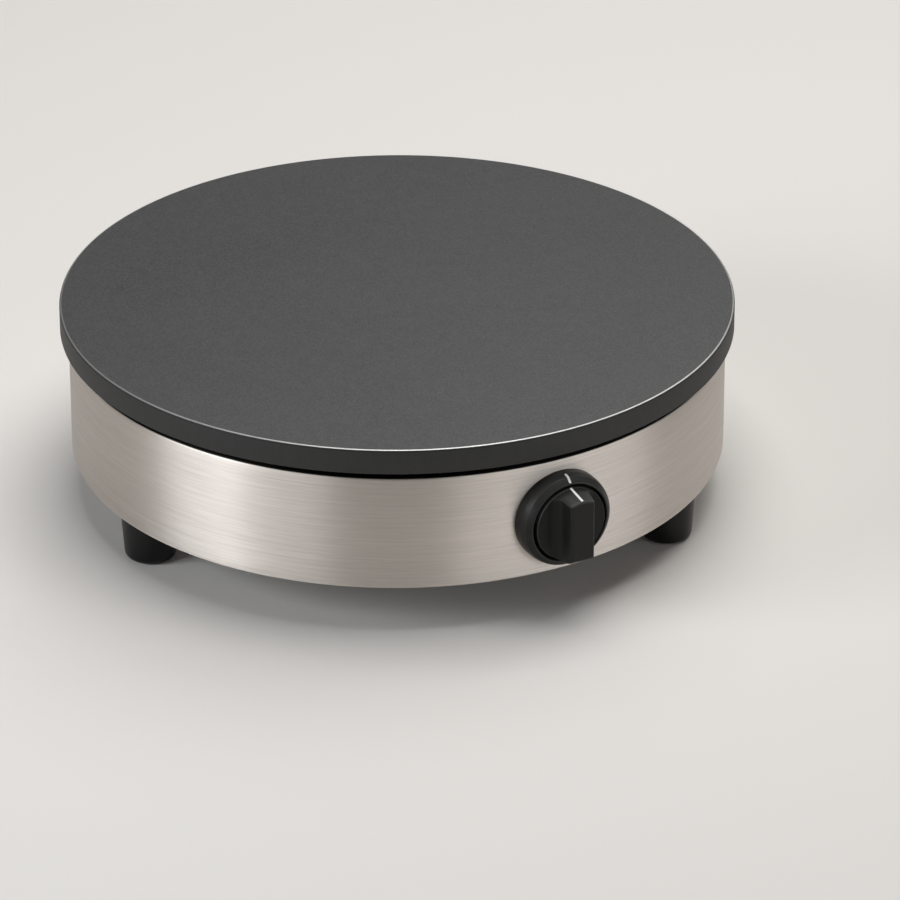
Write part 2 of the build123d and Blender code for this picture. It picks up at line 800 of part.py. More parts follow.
with BuildPart() as dial_bezel:
    bezel_sagitta = skirt_r - sqrt(skirt_r**2 - bezel_r**2)
    with BuildSketch(knob_profile):
        with BuildLine():
            Polyline(
                (bezel_hole_r, -bezel_sagitta - skirt_t),
                (bezel_r, -bezel_sagitta - skirt_t),
                (bezel_r, bezel_wall_h),
                (bezel_crease_r, bezel_crease),
                (bezel_lip_r, bezel_lip),
                (bezel_lip_r, bezel_floor),
                (bezel_hole_r, bezel_floor),
                close=True,
            )
        make_face()
    revolve(axis=knob_axis)
    crease_edge, lip_edge = dial_bezel.edges().filter_by(GeomType.CIRCLE).sort_by(knob_axis)[-2:]
    fillet(lip_edge, radius=bezel_lip_round)
    fillet(crease_edge, radius=bezel_crease_round)
    Cylinder(radius=skirt_r + contact_gap, height=drum_cut_h, mode=Mode.SUBTRACT)
    with BuildSketch(knob_face.offset(bezel_floor / 2)):
        with GridLocations(0, 2 * bezel_peg_pitch, 1, 2):
            Circle(bezel_peg_r)
    extrude(amount=-bezel_floor / 2 - bezel_peg_len)
    extrude(mark_profile, amount=mark_w / 2, both=True, mode=Mode.SUBTRACT)

with BuildPart() as bezel_mark:
    extrude(mark_profile, amount=mark_w / 2 - thread_gap, both=True)

with BuildPart() as bezel_push_nuts:
    with BuildSketch(knob_face.offset(-skirt_t - contact_gap)):
        with GridLocations(0, 2 * bezel_peg_pitch, 1, 2):
            Circle(peg_nut_r)
            Circle(bezel_peg_r + thread_gap, mode=Mode.SUBTRACT)
    extrude(amount=-peg_nut_t)


# ---- Thermostat ----

bracket_rear = -bracket_setback - bracket_t
thermostat_rear = bracket_rear - thermostat_deep

with BuildPart() as thermostat_bracket:
    bracket_top = knob_z + bracket_above
    with BuildSketch(knob_face.offset(-bracket_setback)):
        with Locations((0, base_top_z - knob_z)):
            Rectangle(bracket_w, bracket_top - base_top_z, align=(Align.CENTER, Align.MIN))
        Circle(bush_r + thread_gap, mode=Mode.SUBTRACT)
        with GridLocations(2 * thermostat_screw_half, 0, 2, 1):
            Circle(thermostat_screw_r + thread_gap, mode=Mode.SUBTRACT)
    extrude(amount=-bracket_t)
    with BuildSketch(floor_plane(knob_angle, skirt_r + bracket_rear, base_top_z)):
        Rectangle(bracket_w, bracket_foot, align=(Align.CENTER, Align.MIN))
        with Locations((0, bracket_foot / 2)):
            with GridLocations(2 * bracket_screw_half, 0, 2, 1):
                Circle(thermostat_screw_r + hole_gap, mode=Mode.SUBTRACT)
    extrude(amount=bracket_t)

with BuildPart() as thermostat_body:
    with BuildSketch(knob_face.offset(bracket_rear)):
        RectangleRounded(thermostat_w, thermostat_h, thermostat_corner_r)
    extrude(amount=-thermostat_deep)
    with BuildSketch(knob_face.offset(bracket_rear)):
        Circle(bush_r)
    extrude(amount=bush_len)
    with BuildSketch(knob_face.offset(bracket_rear + bush_len)):
        Circle(spindle_r + spin_gap)
    extrude(amount=-bush_len - spindle_in_body - spin_gap, mode=Mode.SUBTRACT)
    with BuildSketch(knob_face.offset(bracket_rear)):
        with GridLocations(2 * thermostat_screw_half, 0, 2, 1):
            Circle(thermostat_screw_r + thread_gap)
    extrude(amount=-thermostat_screw_len, mode=Mode.SUBTRACT)

with BuildPart() as thermostat_spindle:
    with BuildSketch(knob_face.offset(bracket_rear - spindle_in_body)):
        Circle(spindle_r)
    extrude(amount=spindle_front - bracket_rear + spindle_in_body)
    with BuildSketch(knob_face.offset(spindle_front)):
        with Locations((0, spindle_flat)):
            Rectangle(4 * spindle_r, 2 * spindle_r, align=(Align.CENTER, Align.MIN))
    extrude(amount=knob_rear - spindle_front - spindle_flat_past_hub, mode=Mode.SUBTRACT)

with BuildPart() as thermostat_screws:
    with BuildSketch(knob_face.offset(-bracket_setback)):
        with GridLocations(2 * thermostat_screw_half, 0, 2, 1):
            Circle(thermostat_screw_head_r)
    extrude(amount=thermostat_screw_head_h)
    fillet(thermostat_screws.edges().group_by(knob_axis)[-1], radius=thermostat_screw_head_round)
    with BuildSketch(knob_face.offset(-bracket_setback)):
        with GridLocations(2 * thermostat_screw_half, 0, 2, 1):
            Circle(thermostat_screw_r)
    extrude(amount=-thermostat_screw_len)

with BuildPart() as thermostat_blades:
    with BuildSketch(knob_face.offset(thermostat_rear)):
        with GridLocations(2 * blade_half_space, 0, 2, 1):
            Rectangle(blade_t, blade_w)
    extrude(amount=-blade_len)

with BuildPart() as bracket_screws:
    screw_plane = floor_plane(knob_angle, bracket_foot_r, base_top_z + bracket_t)
    with BuildSketch(screw_plane):
        with GridLocations(2 * bracket_screw_half, 0, 2, 1):
            Circle(thermostat_screw_head_r)
    extrude(amount=thermostat_screw_head_h)
    fillet(bracket_screws.edges().group_by(Axis.Z)[-1], radius=thermostat_screw_head_round)
    with BuildSketch(screw_plane):
        with GridLocations(2 * bracket_screw_half, 0, 2, 1):
            Circle(thermostat_screw_r)
    extrude(amount=-bracket_t - base_t)


# ---- Sensing bulb, capillary and limiter ----

bulb_z = plate_under_z - bulb_r - contact_gap

with BuildPart() as sensor_bulb:
    with BuildSketch(Plane(
        origin=outward(bulb_angle) * bulb_pitch_r + Vector(0, 0, bulb_z),
        x_dir=(0, 0, 1),
        z_dir=sideways(bulb_angle),
    )):
        Circle(bulb_r)
    extrude(amount=bulb_len / 2, both=True)
    fillet(sensor_bulb.edges().filter_by(GeomType.CIRCLE), radius=bulb_end_r)

with BuildPart() as bulb_clip:
    clip_plane = Plane(
        origin=outward(bulb_angle) * bulb_pitch_r + Vector(0, 0, plate_under_z),
        x_dir=outward(bulb_angle),
        z_dir=sideways(bulb_angle) * -1,
    )
    strap_r = bulb_r + contact_gap + clip_t / 2
    strap_edge = strap_r + clip_ear
    with BuildSketch(clip_plane):
        with BuildLine():
            Line((-strap_edge, -clip_t / 2), (-strap_r, -clip_t / 2))
            Line((-strap_r, -clip_t / 2), (-strap_r, -bulb_r - contact_gap))
            ThreePointArc(
                (-strap_r, -bulb_r - contact_gap),
                (0, -bulb_r - contact_gap - strap_r),
                (strap_r, -bulb_r - contact_gap),
            )
            Line((strap_r, -bulb_r - contact_gap), (strap_r, -clip_t / 2))
            Line((strap_r, -clip_t / 2), (strap_edge, -clip_t / 2))
        trace(line_width=clip_t)
    extrude(amount=clip_w / 2, both=True)
    with BuildSketch(floor_plane(bulb_angle, bulb_pitch_r, plate_under_z)):
        with GridLocations(0, 2 * clip_screw_half, 1, 2):
            Circle(clip_screw_r + thread_gap)
    extrude(amount=-2 * clip_t, mode=Mode.SUBTRACT)

with BuildPart() as limiter:
    limiter_plane = floor_plane(limiter_angle, limiter_pitch_r, shield_under_z)
    with BuildSketch(limiter_plane):
        SlotOverall(limiter_flange_w, limiter_flange_w / 3)
        with GridLocations(2 * limiter_screw_half, 0, 2, 1):
            Circle(clip_screw_r + thread_gap, mode=Mode.SUBTRACT)
    extrude(amount=-limiter_flange_t)
    with BuildSketch(limiter_plane.offset(-limiter_flange_t)):
        Circle(limiter_r)
    extrude(amount=-limiter_h)
    limiter_end_z = shield_under_z - limiter_flange_t - limiter_h

with BuildPart() as limiter_blades:
    with BuildSketch(floor_plane(limiter_angle, limiter_pitch_r, limiter_end_z)):
        with GridLocations(limiter_r, 0, 2, 1):
            Rectangle(blade_t, blade_w)
    extrude(amount=-blade_len)

clip_seat = floor_plane(bulb_angle, bulb_pitch_r, plate_under_z - clip_t)
limiter_seat = limiter_plane.offset(-limiter_flange_t)
sensor_screw_places = [
    (clip_seat, [(0, clip_screw_half), (0, -clip_screw_half)]),
    (limiter_seat, [(limiter_screw_half, 0), (-limiter_screw_half, 0)]),
]

with BuildPart() as sensor_screws:
    for seat, places in sensor_screw_places:
        with BuildSketch(seat):
            with Locations(*places):
                Circle(clip_screw_head_r)
        extrude(amount=-clip_screw_head_h)
        with BuildSketch(seat):
            with Locations(*places):
                Circle(clip_screw_r)
        extrude(amount=clip_screw_len - thread_gap)


# ---- Terminal block, gland and earth ----

with BuildPart() as terminal_block:
    block_plane = floor_plane(block_angle, block_pitch_r, base_top_z)
    with BuildSketch(block_plane):
        RectangleRounded(block_w, block_d, block_corner_r)
    extrude(amount=block_h)
    with BuildSketch(block_plane.offset(block_h)):
        with GridLocations(block_pole_space, block_row_space, 3, 2):
            Circle(block_hole_r)
    extrude(amount=-block_hole_depth, mode=Mode.SUBTRACT)
    with BuildSketch(block_plane.offset(block_h)):
        with GridLocations(block_pole_space, 0, 2, 1):
            Circle(block_screw_r + hole_gap)
    extrude(amount=-block_h, mode=Mode.SUBTRACT)

with BuildPart() as terminal_screws:
    with BuildSketch(block_plane.offset(block_h - block_hole_depth)):
        with GridLocations(block_pole_space, block_row_space, 3, 2):
            Circle(block_hole_r - thread_gap)
    extrude(amount=terminal_screw_h)

with BuildPart() as block_screws:
    with BuildSketch(block_plane.offset(-base_t)):
        with GridLocations(block_pole_space, 0, 2, 1):
            Circle(block_screw_r)
    extrude(amount=block_h + base_t)
    with BuildSketch(block_plane.offset(block_h)):
        with GridLocations(block_pole_space, 0, 2, 1):
            Circle(block_screw_head_r)
    extrude(amount=block_screw_head_h)

with BuildPart() as gland_washer:
    with BuildSketch(gland_face.offset(gland_washer_t)):
        Circle(hex_radius(gland_flats))
        Circle(gland_thread_r + thread_gap, mode=Mode.SUBTRACT)
    extrude(amount=-2 * gland_washer_t)
    Cylinder(radius=skirt_r + contact_gap, height=drum_cut_h, mode=Mode.SUBTRACT)

with BuildPart() as cable_gland:
    with BuildSketch(gland_face.offset(gland_washer_t)):
        RegularPolygon(hex_radius(gland_flats), 6)
    extrude(amount=gland_flange_t)
    with BuildSketch(gland_face.offset(gland_washer_t)):
        Circle(gland_thread_r)
    extrude(amount=-gland_washer_t - gland_inside)
    with BuildSketch(gland_face.offset(gland_washer_t + gland_flange_t)):
        Circle(seal_r + thread_gap)
    extrude(amount=-gland_washer_t - gland_flange_t - gland_inside, mode=Mode.SUBTRACT)

with BuildPart() as gland_dome:
    with BuildSketch(gland_face.offset(gland_washer_t + gland_flange_t)):
        Circle(gland_dome_r)
    extrude(amount=gland_dome_len)
    fillet(gland_dome.edges().group_by(Axis.Y)[-1], radius=gland_dome_len / 2)
    with BuildSketch(gland_face.offset(gland_washer_t + gland_flange_t)):
        Circle(seal_r + thread_gap)
    extrude(amount=gland_dome_len, mode=Mode.SUBTRACT)

with BuildPart() as gland_seal:
    with BuildSketch(gland_face.offset(gland_washer_t)):
        Circle(seal_r)
        Circle(cord_hole_r, mode=Mode.SUBTRACT)
    extrude(amount=gland_flange_t + gland_dome_len)

with BuildPart() as gland_nut:
    nut_corner = hex_radius(gland_nut_flats)
    nut_seat = sqrt((skirt_r - skirt_t) ** 2 - nut_corner**2) - skirt_r - contact_gap
    with BuildSketch(gland_face.offset(nut_seat)):
        RegularPolygon(nut_corner, 6)
        Circle(gland_thread_r + thread_gap, mode=Mode.SUBTRACT)
    extrude(amount=-gland_nut_t)

with BuildPart() as earth_stud:
    with BuildSketch(floor_plane(earth_angle, earth_pitch_r, base_under_z)):
        Circle(earth_stud_r)
    extrude(amount=earth_stud_len)

with BuildPart() as earth_nut:
    with BuildSketch(floor_plane(earth_angle, earth_pitch_r, base_top_z)):
        RegularPolygon(hex_radius(earth_nut_flats), 6)
        Circle(earth_stud_r + thread_gap, mode=Mode.SUBTRACT)
    extrude(amount=earth_nut_h)


# ---- Leads ----

def corner_radii(points):
    """The largest arcs that the runs on each side of a corner allow."""
    radii = []
    for before, corner, after in zip(points, points[1:], points[2:]):
        turn = radians((corner - before).get_angle(after - corner))
        shorter = min((corner - before).length, (after - corner).length)
        radii.append(0.45 * shorter / tan(turn / 2))
    return radii


def make_lead(name, points, radius):
    """A round lead of straight runs joined by tangent arcs."""
    radii = corner_radii(points)
    print(name, "bends", [round(bend) for bend in radii])
    with BuildPart() as lead:
        with BuildLine() as route:
            FilletPolyline(*points, radius=radii)
        with BuildSketch(Plane(origin=points[0], z_dir=points[1] - points[0])):
            Circle(radius)
        sweep(path=route.wire())
    return lead


def at(angle, radius, z, along=0.0):
    """A point by its angle, distance from the axis and height, moved along the drum."""
    return outward(angle) * radius + sideways(angle) * along + Vector(0, 0, z)


block_face_r = block_pitch_r - block_d / 2 - contact_gap
block_entry_z = base_top_z + block_h / 3         # a third of the way up, below the terminal screws
blade_r = skirt_r + thermostat_rear - blade_len - contact_gap
limiter_tip_z = limiter_end_z - blade_len - contact_gap
bus_foot_z = bus_under_z - contact_gap
bus_tab_r = bus_end - 2.5                        # where the heater lead meets the bus bar's end
lead_floor_z = base_top_z + 3 * lead_r

live_lead = make_lead("live_lead", [
    at(block_angle, block_face_r, block_entry_z),
    at(block_angle, block_face_r - lead_tail, block_entry_z),
    at(129, lead_ring_r + 12, lead_floor_z),
    at(108, lead_ring_r, lead_floor_z + 1),
    at(86, lead_ring_r + 2, lead_floor_z),
    at(64, lead_ring_r - 6, lead_floor_z),
    at(44, lead_ring_r - 14, lead_floor_z + 3),
    at(26, lead_ring_r - 16, lead_floor_z + 9),
    at(16, lead_ring_r - 2, knob_z - 7),
    at(knob_angle, blade_r - lead_tail, knob_z, -blade_half_space),
    at(knob_angle, blade_r, knob_z, -blade_half_space),
], lead_r)

limiter_lead = make_lead("limiter_lead", [
    at(knob_angle, blade_r, knob_z, blade_half_space),
    at(knob_angle, blade_r - lead_tail, knob_z, blade_half_space),
    at(knob_angle + 16, blade_r - 2 * lead_tail, knob_z - 3),
    at(54, limiter_pitch_r - 20, limiter_tip_z - 12),
    at(68, limiter_pitch_r - 16, limiter_tip_z - 17),
    at(limiter_angle, limiter_pitch_r, limiter_tip_z - lead_tail + 1, -limiter_r / 2),
    at(limiter_angle, limiter_pitch_r, limiter_tip_z, -limiter_r / 2),
], lead_r)

heater_lead = make_lead("heater_lead", [
    at(limiter_angle, limiter_pitch_r, limiter_tip_z, limiter_r / 2),
    at(limiter_angle, limiter_pitch_r, limiter_tip_z - lead_tail + 1, limiter_r / 2),
    at(97, limiter_pitch_r + 4, limiter_tip_z - 17),
    at(114, limiter_pitch_r + 14, limiter_tip_z - 16),
    at(129, bus_end - 17, limiter_tip_z - 15),
    at(terminal_angle, bus_tab_r, bus_foot_z - lead_tail, -leg_half_space),
    at(terminal_angle, bus_tab_r, bus_foot_z, -leg_half_space),
], lead_r)

neutral_lead = make_lead("neutral_lead", [
    at(block_angle, block_face_r, block_entry_z, block_pole_space),
    at(block_angle, block_face_r - 12, block_entry_z, block_pole_space),
    at(terminal_angle, pillar_pitch_r + 4, bus_foot_z - lead_tail, leg_half_space),
    at(terminal_angle, pillar_pitch_r + 5, bus_foot_z, leg_half_space),
], lead_r)

earth_lead = make_lead("earth_lead", [
    at(block_angle, block_face_r, block_entry_z, -block_pole_space),
    at(block_angle, block_face_r - lead_tail, block_entry_z, -block_pole_space - 1),
    at(135, earth_pitch_r - 30, block_entry_z + 2),
    at(earth_angle, earth_pitch_r - 18, block_entry_z),
    at(earth_angle, earth_pitch_r - earth_stud_r - contact_gap, block_entry_z),
], lead_r)

capillary_tube = make_lead("capillary_tube", [
    at(bulb_angle, bulb_pitch_r, bulb_z, -bulb_len / 2 - contact_gap),
    at(bulb_angle, bulb_pitch_r, bulb_z, capillary_drop),
    at(bulb_angle, bulb_pitch_r, shield_under_z - 5, capillary_drop),
    at(10, lead_ring_r - 5, knob_z - 6),
    at(knob_angle, blade_r - 6, knob_z - thermostat_h / 4, -2),
    at(knob_angle, skirt_r + thermostat_rear - contact_gap, knob_z - thermostat_h / 4, -2),
], capillary_r)


# ---- Write every piece ----

pieces = {
    "griddle_plate": griddle_plate,
    "plate_studs": plate_studs,
    "support_pillars": support_pillars,
    "pillar_screws": pillar_screws,
    "element_inner": element_inner,
    "element_middle": element_middle,
    "element_outer": element_outer,
    "element_pins": element_pins,
    "element_beads": element_beads,
    "live_bus_bar": live_bus_bar,
    "neutral_bus_bar": neutral_bus_bar,
    "bus_nuts": bus_nuts,
    "clamp_bars": clamp_bars,
    "clamp_studs": clamp_studs,
    "clamp_nuts": clamp_nuts,
    "heat_shield": heat_shield,
    "insulation_blanket": insulation_blanket,
    "shield_push_nuts": shield_push_nuts,
    "body_skirt": body_skirt,
    "base_plate": base_plate,
    "base_screws": base_screws,
    "foot_front_left": foot_front_left,
    "foot_front_right": foot_front_right,
    "foot_rear": foot_rear,
    "foot_stud_front_left": foot_stud_front_left,
    "foot_stud_front_right": foot_stud_front_right,
    "foot_stud_rear": foot_stud_rear,
    "foot_nuts": foot_nuts,
    "knob": knob,
    "knob_pointer": knob_pointer,
    "dial_bezel": dial_bezel,
    "bezel_mark": bezel_mark,
    "bezel_push_nuts": bezel_push_nuts,
    "thermostat_bracket": thermostat_bracket,
    "thermostat_body": thermostat_body,
    "thermostat_spindle": thermostat_spindle,
    "thermostat_screws": thermostat_screws,
    "thermostat_blades": thermostat_blades,
    "bracket_screws": bracket_screws,
    "sensor_bulb": sensor_bulb,
    "bulb_clip": bulb_clip,
    "capillary_tube": capillary_tube,
    "limiter": limiter,
    "limiter_blades": limiter_blades,
    "sensor_screws": sensor_screws,
    "terminal_block": terminal_block,
    "terminal_screws": terminal_screws,
    "block_screws": block_screws,
    "gland_washer": gland_washer,
    "cable_gland": cable_gland,
    "gland_dome": gland_dome,
    "gland_seal": gland_seal,
    "gland_nut": gland_nut,
    "earth_stud": earth_stud,
    "earth_nut": earth_nut,
    "live_lead": live_lead,
    "limiter_lead": limiter_lead,
    "heater_lead": heater_lead,
    "neutral_lead": neutral_lead,
    "earth_lead": earth_lead,
}

os.makedirs("parts", exist_ok=True)
for name, piece in pieces.items():
    piece.part.label = name
    export_step(piece.part, f"parts/{name}.step")
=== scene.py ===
import json
import math

import bmesh
import bpy
from mathutils import Matrix, Vector


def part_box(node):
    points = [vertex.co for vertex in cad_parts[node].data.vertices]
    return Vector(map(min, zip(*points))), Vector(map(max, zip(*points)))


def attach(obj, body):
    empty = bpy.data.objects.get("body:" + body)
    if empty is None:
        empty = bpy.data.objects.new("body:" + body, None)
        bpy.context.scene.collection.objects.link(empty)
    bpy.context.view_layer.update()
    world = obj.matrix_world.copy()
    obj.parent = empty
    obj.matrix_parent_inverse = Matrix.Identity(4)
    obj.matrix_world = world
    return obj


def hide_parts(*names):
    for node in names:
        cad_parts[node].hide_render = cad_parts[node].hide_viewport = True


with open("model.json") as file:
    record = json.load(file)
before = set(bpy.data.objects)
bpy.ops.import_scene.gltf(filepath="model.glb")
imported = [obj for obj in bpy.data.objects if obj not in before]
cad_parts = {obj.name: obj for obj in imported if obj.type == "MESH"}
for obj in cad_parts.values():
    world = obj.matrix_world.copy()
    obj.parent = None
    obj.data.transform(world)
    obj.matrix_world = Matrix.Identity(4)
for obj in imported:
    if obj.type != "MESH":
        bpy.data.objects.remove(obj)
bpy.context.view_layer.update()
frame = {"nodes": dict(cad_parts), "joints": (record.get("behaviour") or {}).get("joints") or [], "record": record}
nodes = frame["nodes"]
record = frame["record"]
slotOfNode = {part["node"]: part["material_slot"] for part in record["subparts"]}
joints = {joint["name"]: joint for joint in frame["joints"]}
mm = 0.001
hair = 0.001 * mm                          # points closer than this are one point
print("frame loaded,", len(nodes), "nodes")


# Camera and lamps

view = {
    "azimuth": -4.74,                      # degrees round the machine, 0 is straight in front
    "elevation": 27.434,
    "place": (-0.2346, -3.2084, 1.6869),
    "lens": 241.4,                         # mm
    "sensor": 36.0,                        # mm wide
    "nearest": 0.1,                        # metres
    "farthest": 50,
}


def addCamera():
    azimuth = math.radians(view["azimuth"])
    elevation = math.radians(view["elevation"])
    back = Vector((
        math.sin(azimuth) * math.cos(elevation),
        -math.cos(azimuth) * math.cos(elevation),
        math.sin(elevation),
    ))
    lensData = bpy.data.cameras.new("camera")
    lensData.lens = view["lens"]
    lensData.sensor_width = view["sensor"]
    lensData.clip_start = view["nearest"]
    lensData.clip_end = view["farthest"]
    camera = bpy.data.objects.new("camera", lensData)
    camera.location = view["place"]
    camera.rotation_mode = "QUATERNION"
    camera.rotation_quaternion = (-back).to_track_quat("-Z", "Y")
    bpy.context.scene.collection.objects.link(camera)
    bpy.context.scene.camera = camera


lamps = {
    # name: place, size across and up in metres, watts, colour
    "leftBox": ((-1.90, -0.66, 0.95), (1.10, 0.9), 23, (0.92, 0.955, 1.0)),
    "leftCard": ((-1.35, -1.35, 0.44), (1.3, 0.45), 7.0, (0.94, 0.97, 1.0)),
    "rightCard": ((1.43, -1.27, 0.44), (2.5, 0.45), 10.8, (0.97, 0.985, 1.0)),
    "rightBox": ((1.43, -1.27, 0.44), (2.6, 0.45), 6.5, (0.97, 0.985, 1.0)),
    "topBox": ((0.20, 0.06, 2.2), (1.5, 1.5), 31, (1.0, 0.99, 0.975)),
    "backBox": ((0.90, 1.35, 1.9), (2.4, 1.4), 26, (1.0, 0.99, 0.975)),
}
lampAim = Vector((0, 0, 0.06))             # the middle of the machine


def addLamps():
    for name, (place, size, watts, colour) in lamps.items():
        light = bpy.data.lights.new(name, "AREA")
        light.shape = "RECTANGLE"
        light.size, light.size_y = size
        light.energy = watts
        light.color = colour
        lamp = bpy.data.objects.new(name, light)
        lamp.location = place
        lamp.visible_diffuse = not name.endswith("Card")   # a card shows only in metal and gloss
        lamp.rotation_mode = "QUATERNION"
        lamp.rotation_quaternion = (lampAim - Vector(place)).to_track_quat("-Z", "Y")
        bpy.context.scene.collection.objects.link(lamp)


# Shader maths

class Value:                               # one socket of a shader, with sums written as sums
    def __init__(self, paint, socket):
        self.paint = paint
        self.socket = socket

    def sum(self, operation, *terms, clamp=False):
        settings = {"operation": operation, "use_clamp": clamp}
        return self.paint.add("ShaderNodeMath", settings, dict(enumerate(terms)))

    def __add__(self, other):
        return self.sum("ADD", self, other)

    def __radd__(self, other):
        return self.sum("ADD", other, self)

    def __sub__(self, other):
        return self.sum("SUBTRACT", self, other)

    def __rsub__(self, other):
        return self.sum("SUBTRACT", other, self)

    def __mul__(self, other):
        return self.sum("MULTIPLY", self, other)

    def __rmul__(self, other):
        return self.sum("MULTIPLY", other, self)

    def __pow__(self, other):
        return self.sum("POWER", self, other)

    def clip(self):
        return self.sum("ADD", self, 0.0, clamp=True)


class Paint:                               # a material in the making
    def __init__(self, name):
        self.material = bpy.data.materials.new(name)
        self.material.use_nodes = True
        self.tree = self.material.node_tree
        self.tree.nodes.clear()

    def add(self, kind, settings=None, sockets=None, output=0):
        node = self.tree.nodes.new(kind)
        for name, setting in (settings or {}).items():
            setattr(node, name, setting)
        for name, value in (sockets or {}).items():
            if isinstance(value, Value):
                self.tree.links.new(value.socket, node.inputs[name])
            else:
                node.inputs[name].default_value = value
        return Value(self, node.outputs[output])

    def place(self):                       # the point on the piece, in metres
        return self.add("ShaderNodeTexCoord", output=3)

    def upward(self):                      # 1 where the surface faces up, -1 where it faces down
        return self.axes(self.add("ShaderNodeTexCoord", output=1))[2]

    def mark(self, name):                  # a value kept on the mesh's corners, 0 where there is none
        return self.add("ShaderNodeAttribute", {"attribute_name": name}, output=2)

    def axes(self, point):
        split = self.add("ShaderNodeSeparateXYZ", sockets={0: point}).socket.node
        return [Value(self, socket) for socket in split.outputs]

    def stretch(self, point, factors):
        return self.add("ShaderNodeVectorMath", {"operation": "MULTIPLY"}, {0: point, 1: factors})

    def noise(self, point, scale, detail=3.0, roughness=0.5):
        sockets = {"Vector": point, "Scale": scale, "Detail": detail, "Roughness": roughness}
        return self.add("ShaderNodeTexNoise", None, sockets)

    def cells(self, point, scale):         # how far the nearest grain is
        return self.add("ShaderNodeTexVoronoi", None, {"Vector": point, "Scale": scale})

    def ramp(self, value, low, high, outLow=0.0, outHigh=1.0):
        sockets = {0: value, 1: low, 2: high, 3: outLow, 4: outHigh}
        return self.add("ShaderNodeMapRange", {"clamp": True}, sockets)

    def spread(self, noise, low=0.0, high=1.0):   # most of a noise lies between 0.3 and 0.7
        return self.ramp(noise, 0.3, 0.7, low, high)

    def short(self, value, edge, band, low=0.0, high=1.0):   # a ramp over a band short of an edge
        return self.ramp(value, edge - band[0], edge - band[1], low, high)

    def blend(self, factor, first, second):
        sockets = {0: factor, 6: first, 7: second}
        return self.add("ShaderNodeMix", {"data_type": "RGBA"}, sockets, output=2)

    def bump(self, height, distance, strength):
        sockets = {"Height": height, "Distance": distance, "Strength": strength}
        return self.add("ShaderNodeBump", None, sockets)

    def finish(self, **sockets):
        named = {name.replace("_", " "): value for name, value in sockets.items()}
        surface = self.add("ShaderNodeBsdfPrincipled", None, named)
        output = self.tree.nodes.new("ShaderNodeOutputMaterial")
        self.tree.links.new(surface.socket, output.inputs["Surface"])
        return self.material


def rgb(red, green, blue):
    return (red, green, blue, 1.0)


# Floor and the faint light from all round

floorLook = {
    "half": 6.0,
    "colour": rgb(0.735, 0.715, 0.688),
    "mottle": rgb(0.70, 0.68, 0.65),
    "mottleScale": 2.0,
    "mottleShare": 0.03,
    "roughness": 0.9,
    "shine": 0.2,
    "sky": rgb(0.80, 0.79, 0.78),
    "skyStrength": 0.05,
}


def addFloor():
    mesh = bpy.data.meshes.new("floor")
    plane = bmesh.new()
    bmesh.ops.create_grid(plane, x_segments=1, y_segments=1, size=floorLook["half"])
    plane.to_mesh(mesh)
    plane.free()
    paint = Paint("pale paper")
    mottle = paint.noise(paint.place(), floorLook["mottleScale"]) * floorLook["mottleShare"]
    mesh.materials.append(paint.finish(
        Base_Color=paint.blend(mottle, floorLook["colour"], floorLook["mottle"]),
        Roughness=floorLook["roughness"], Specular_IOR_Level=floorLook["shine"],
    ))
    floor = bpy.data.objects.new("floor", mesh)
    bpy.context.scene.collection.objects.link(floor)


def setWorld():
    world = bpy.data.worlds.new("studio")
    world.use_nodes = True
    background = world.node_tree.nodes["Background"]
    background.inputs["Color"].default_value = floorLook["sky"]
    background.inputs["Strength"].default_value = floorLook["skyStrength"]
    bpy.context.scene.world = world


addCamera()
addLamps()
addFloor()
setWorld()
bpy.context.scene.view_settings.view_transform = "Standard"
print("stage set")


# Finishes, one for each material slot of the record

griddleFinish = {
    "colour": rgb(0.012, 0.0122, 0.0124),
    "light": rgb(0.115, 0.115, 0.1165),
    "worn": rgb(0.50, 0.50, 0.49),         # bare iron along the top edge
    "rollShade": rgb(0.005, 0.005, 0.005),      # painted shade on the rounding under the worn line
    # the side, darker than the top: painted shade
    "side": rgb(0.0235, 0.0225, 0.0215),
    "grain": 1.0 * mm,
    "pit": 1.3 * mm,
    "blotches": 110.0,                     # per metre, as all the counts below
    "clouds": 9.0,
    "streaks": (260.0, 260.0, 40.0),
    "speckle": (0.36, 0.68),               # the grain's values where the light specks start and are full
    "shares": (0.62, 0.10, 0.08),          # of grain, blotches and clouds in the speckle
    "bump": 0.12 * mm,
    "bumpStrength": 0.7,
    "roughness": (0.50, 0.62),
    "wornSmoother": 0.22,
    "sideRougher": 0.02,
    "shine": 0.41,
    "rimBand": (1.35 * mm, 1.1 * mm),      # in from the plate's edge
    "rollBand": (0.42 * mm, 0.32 * mm),    # down from its top
    "sideBand": (1.7 * mm, 1.2 * mm),
}


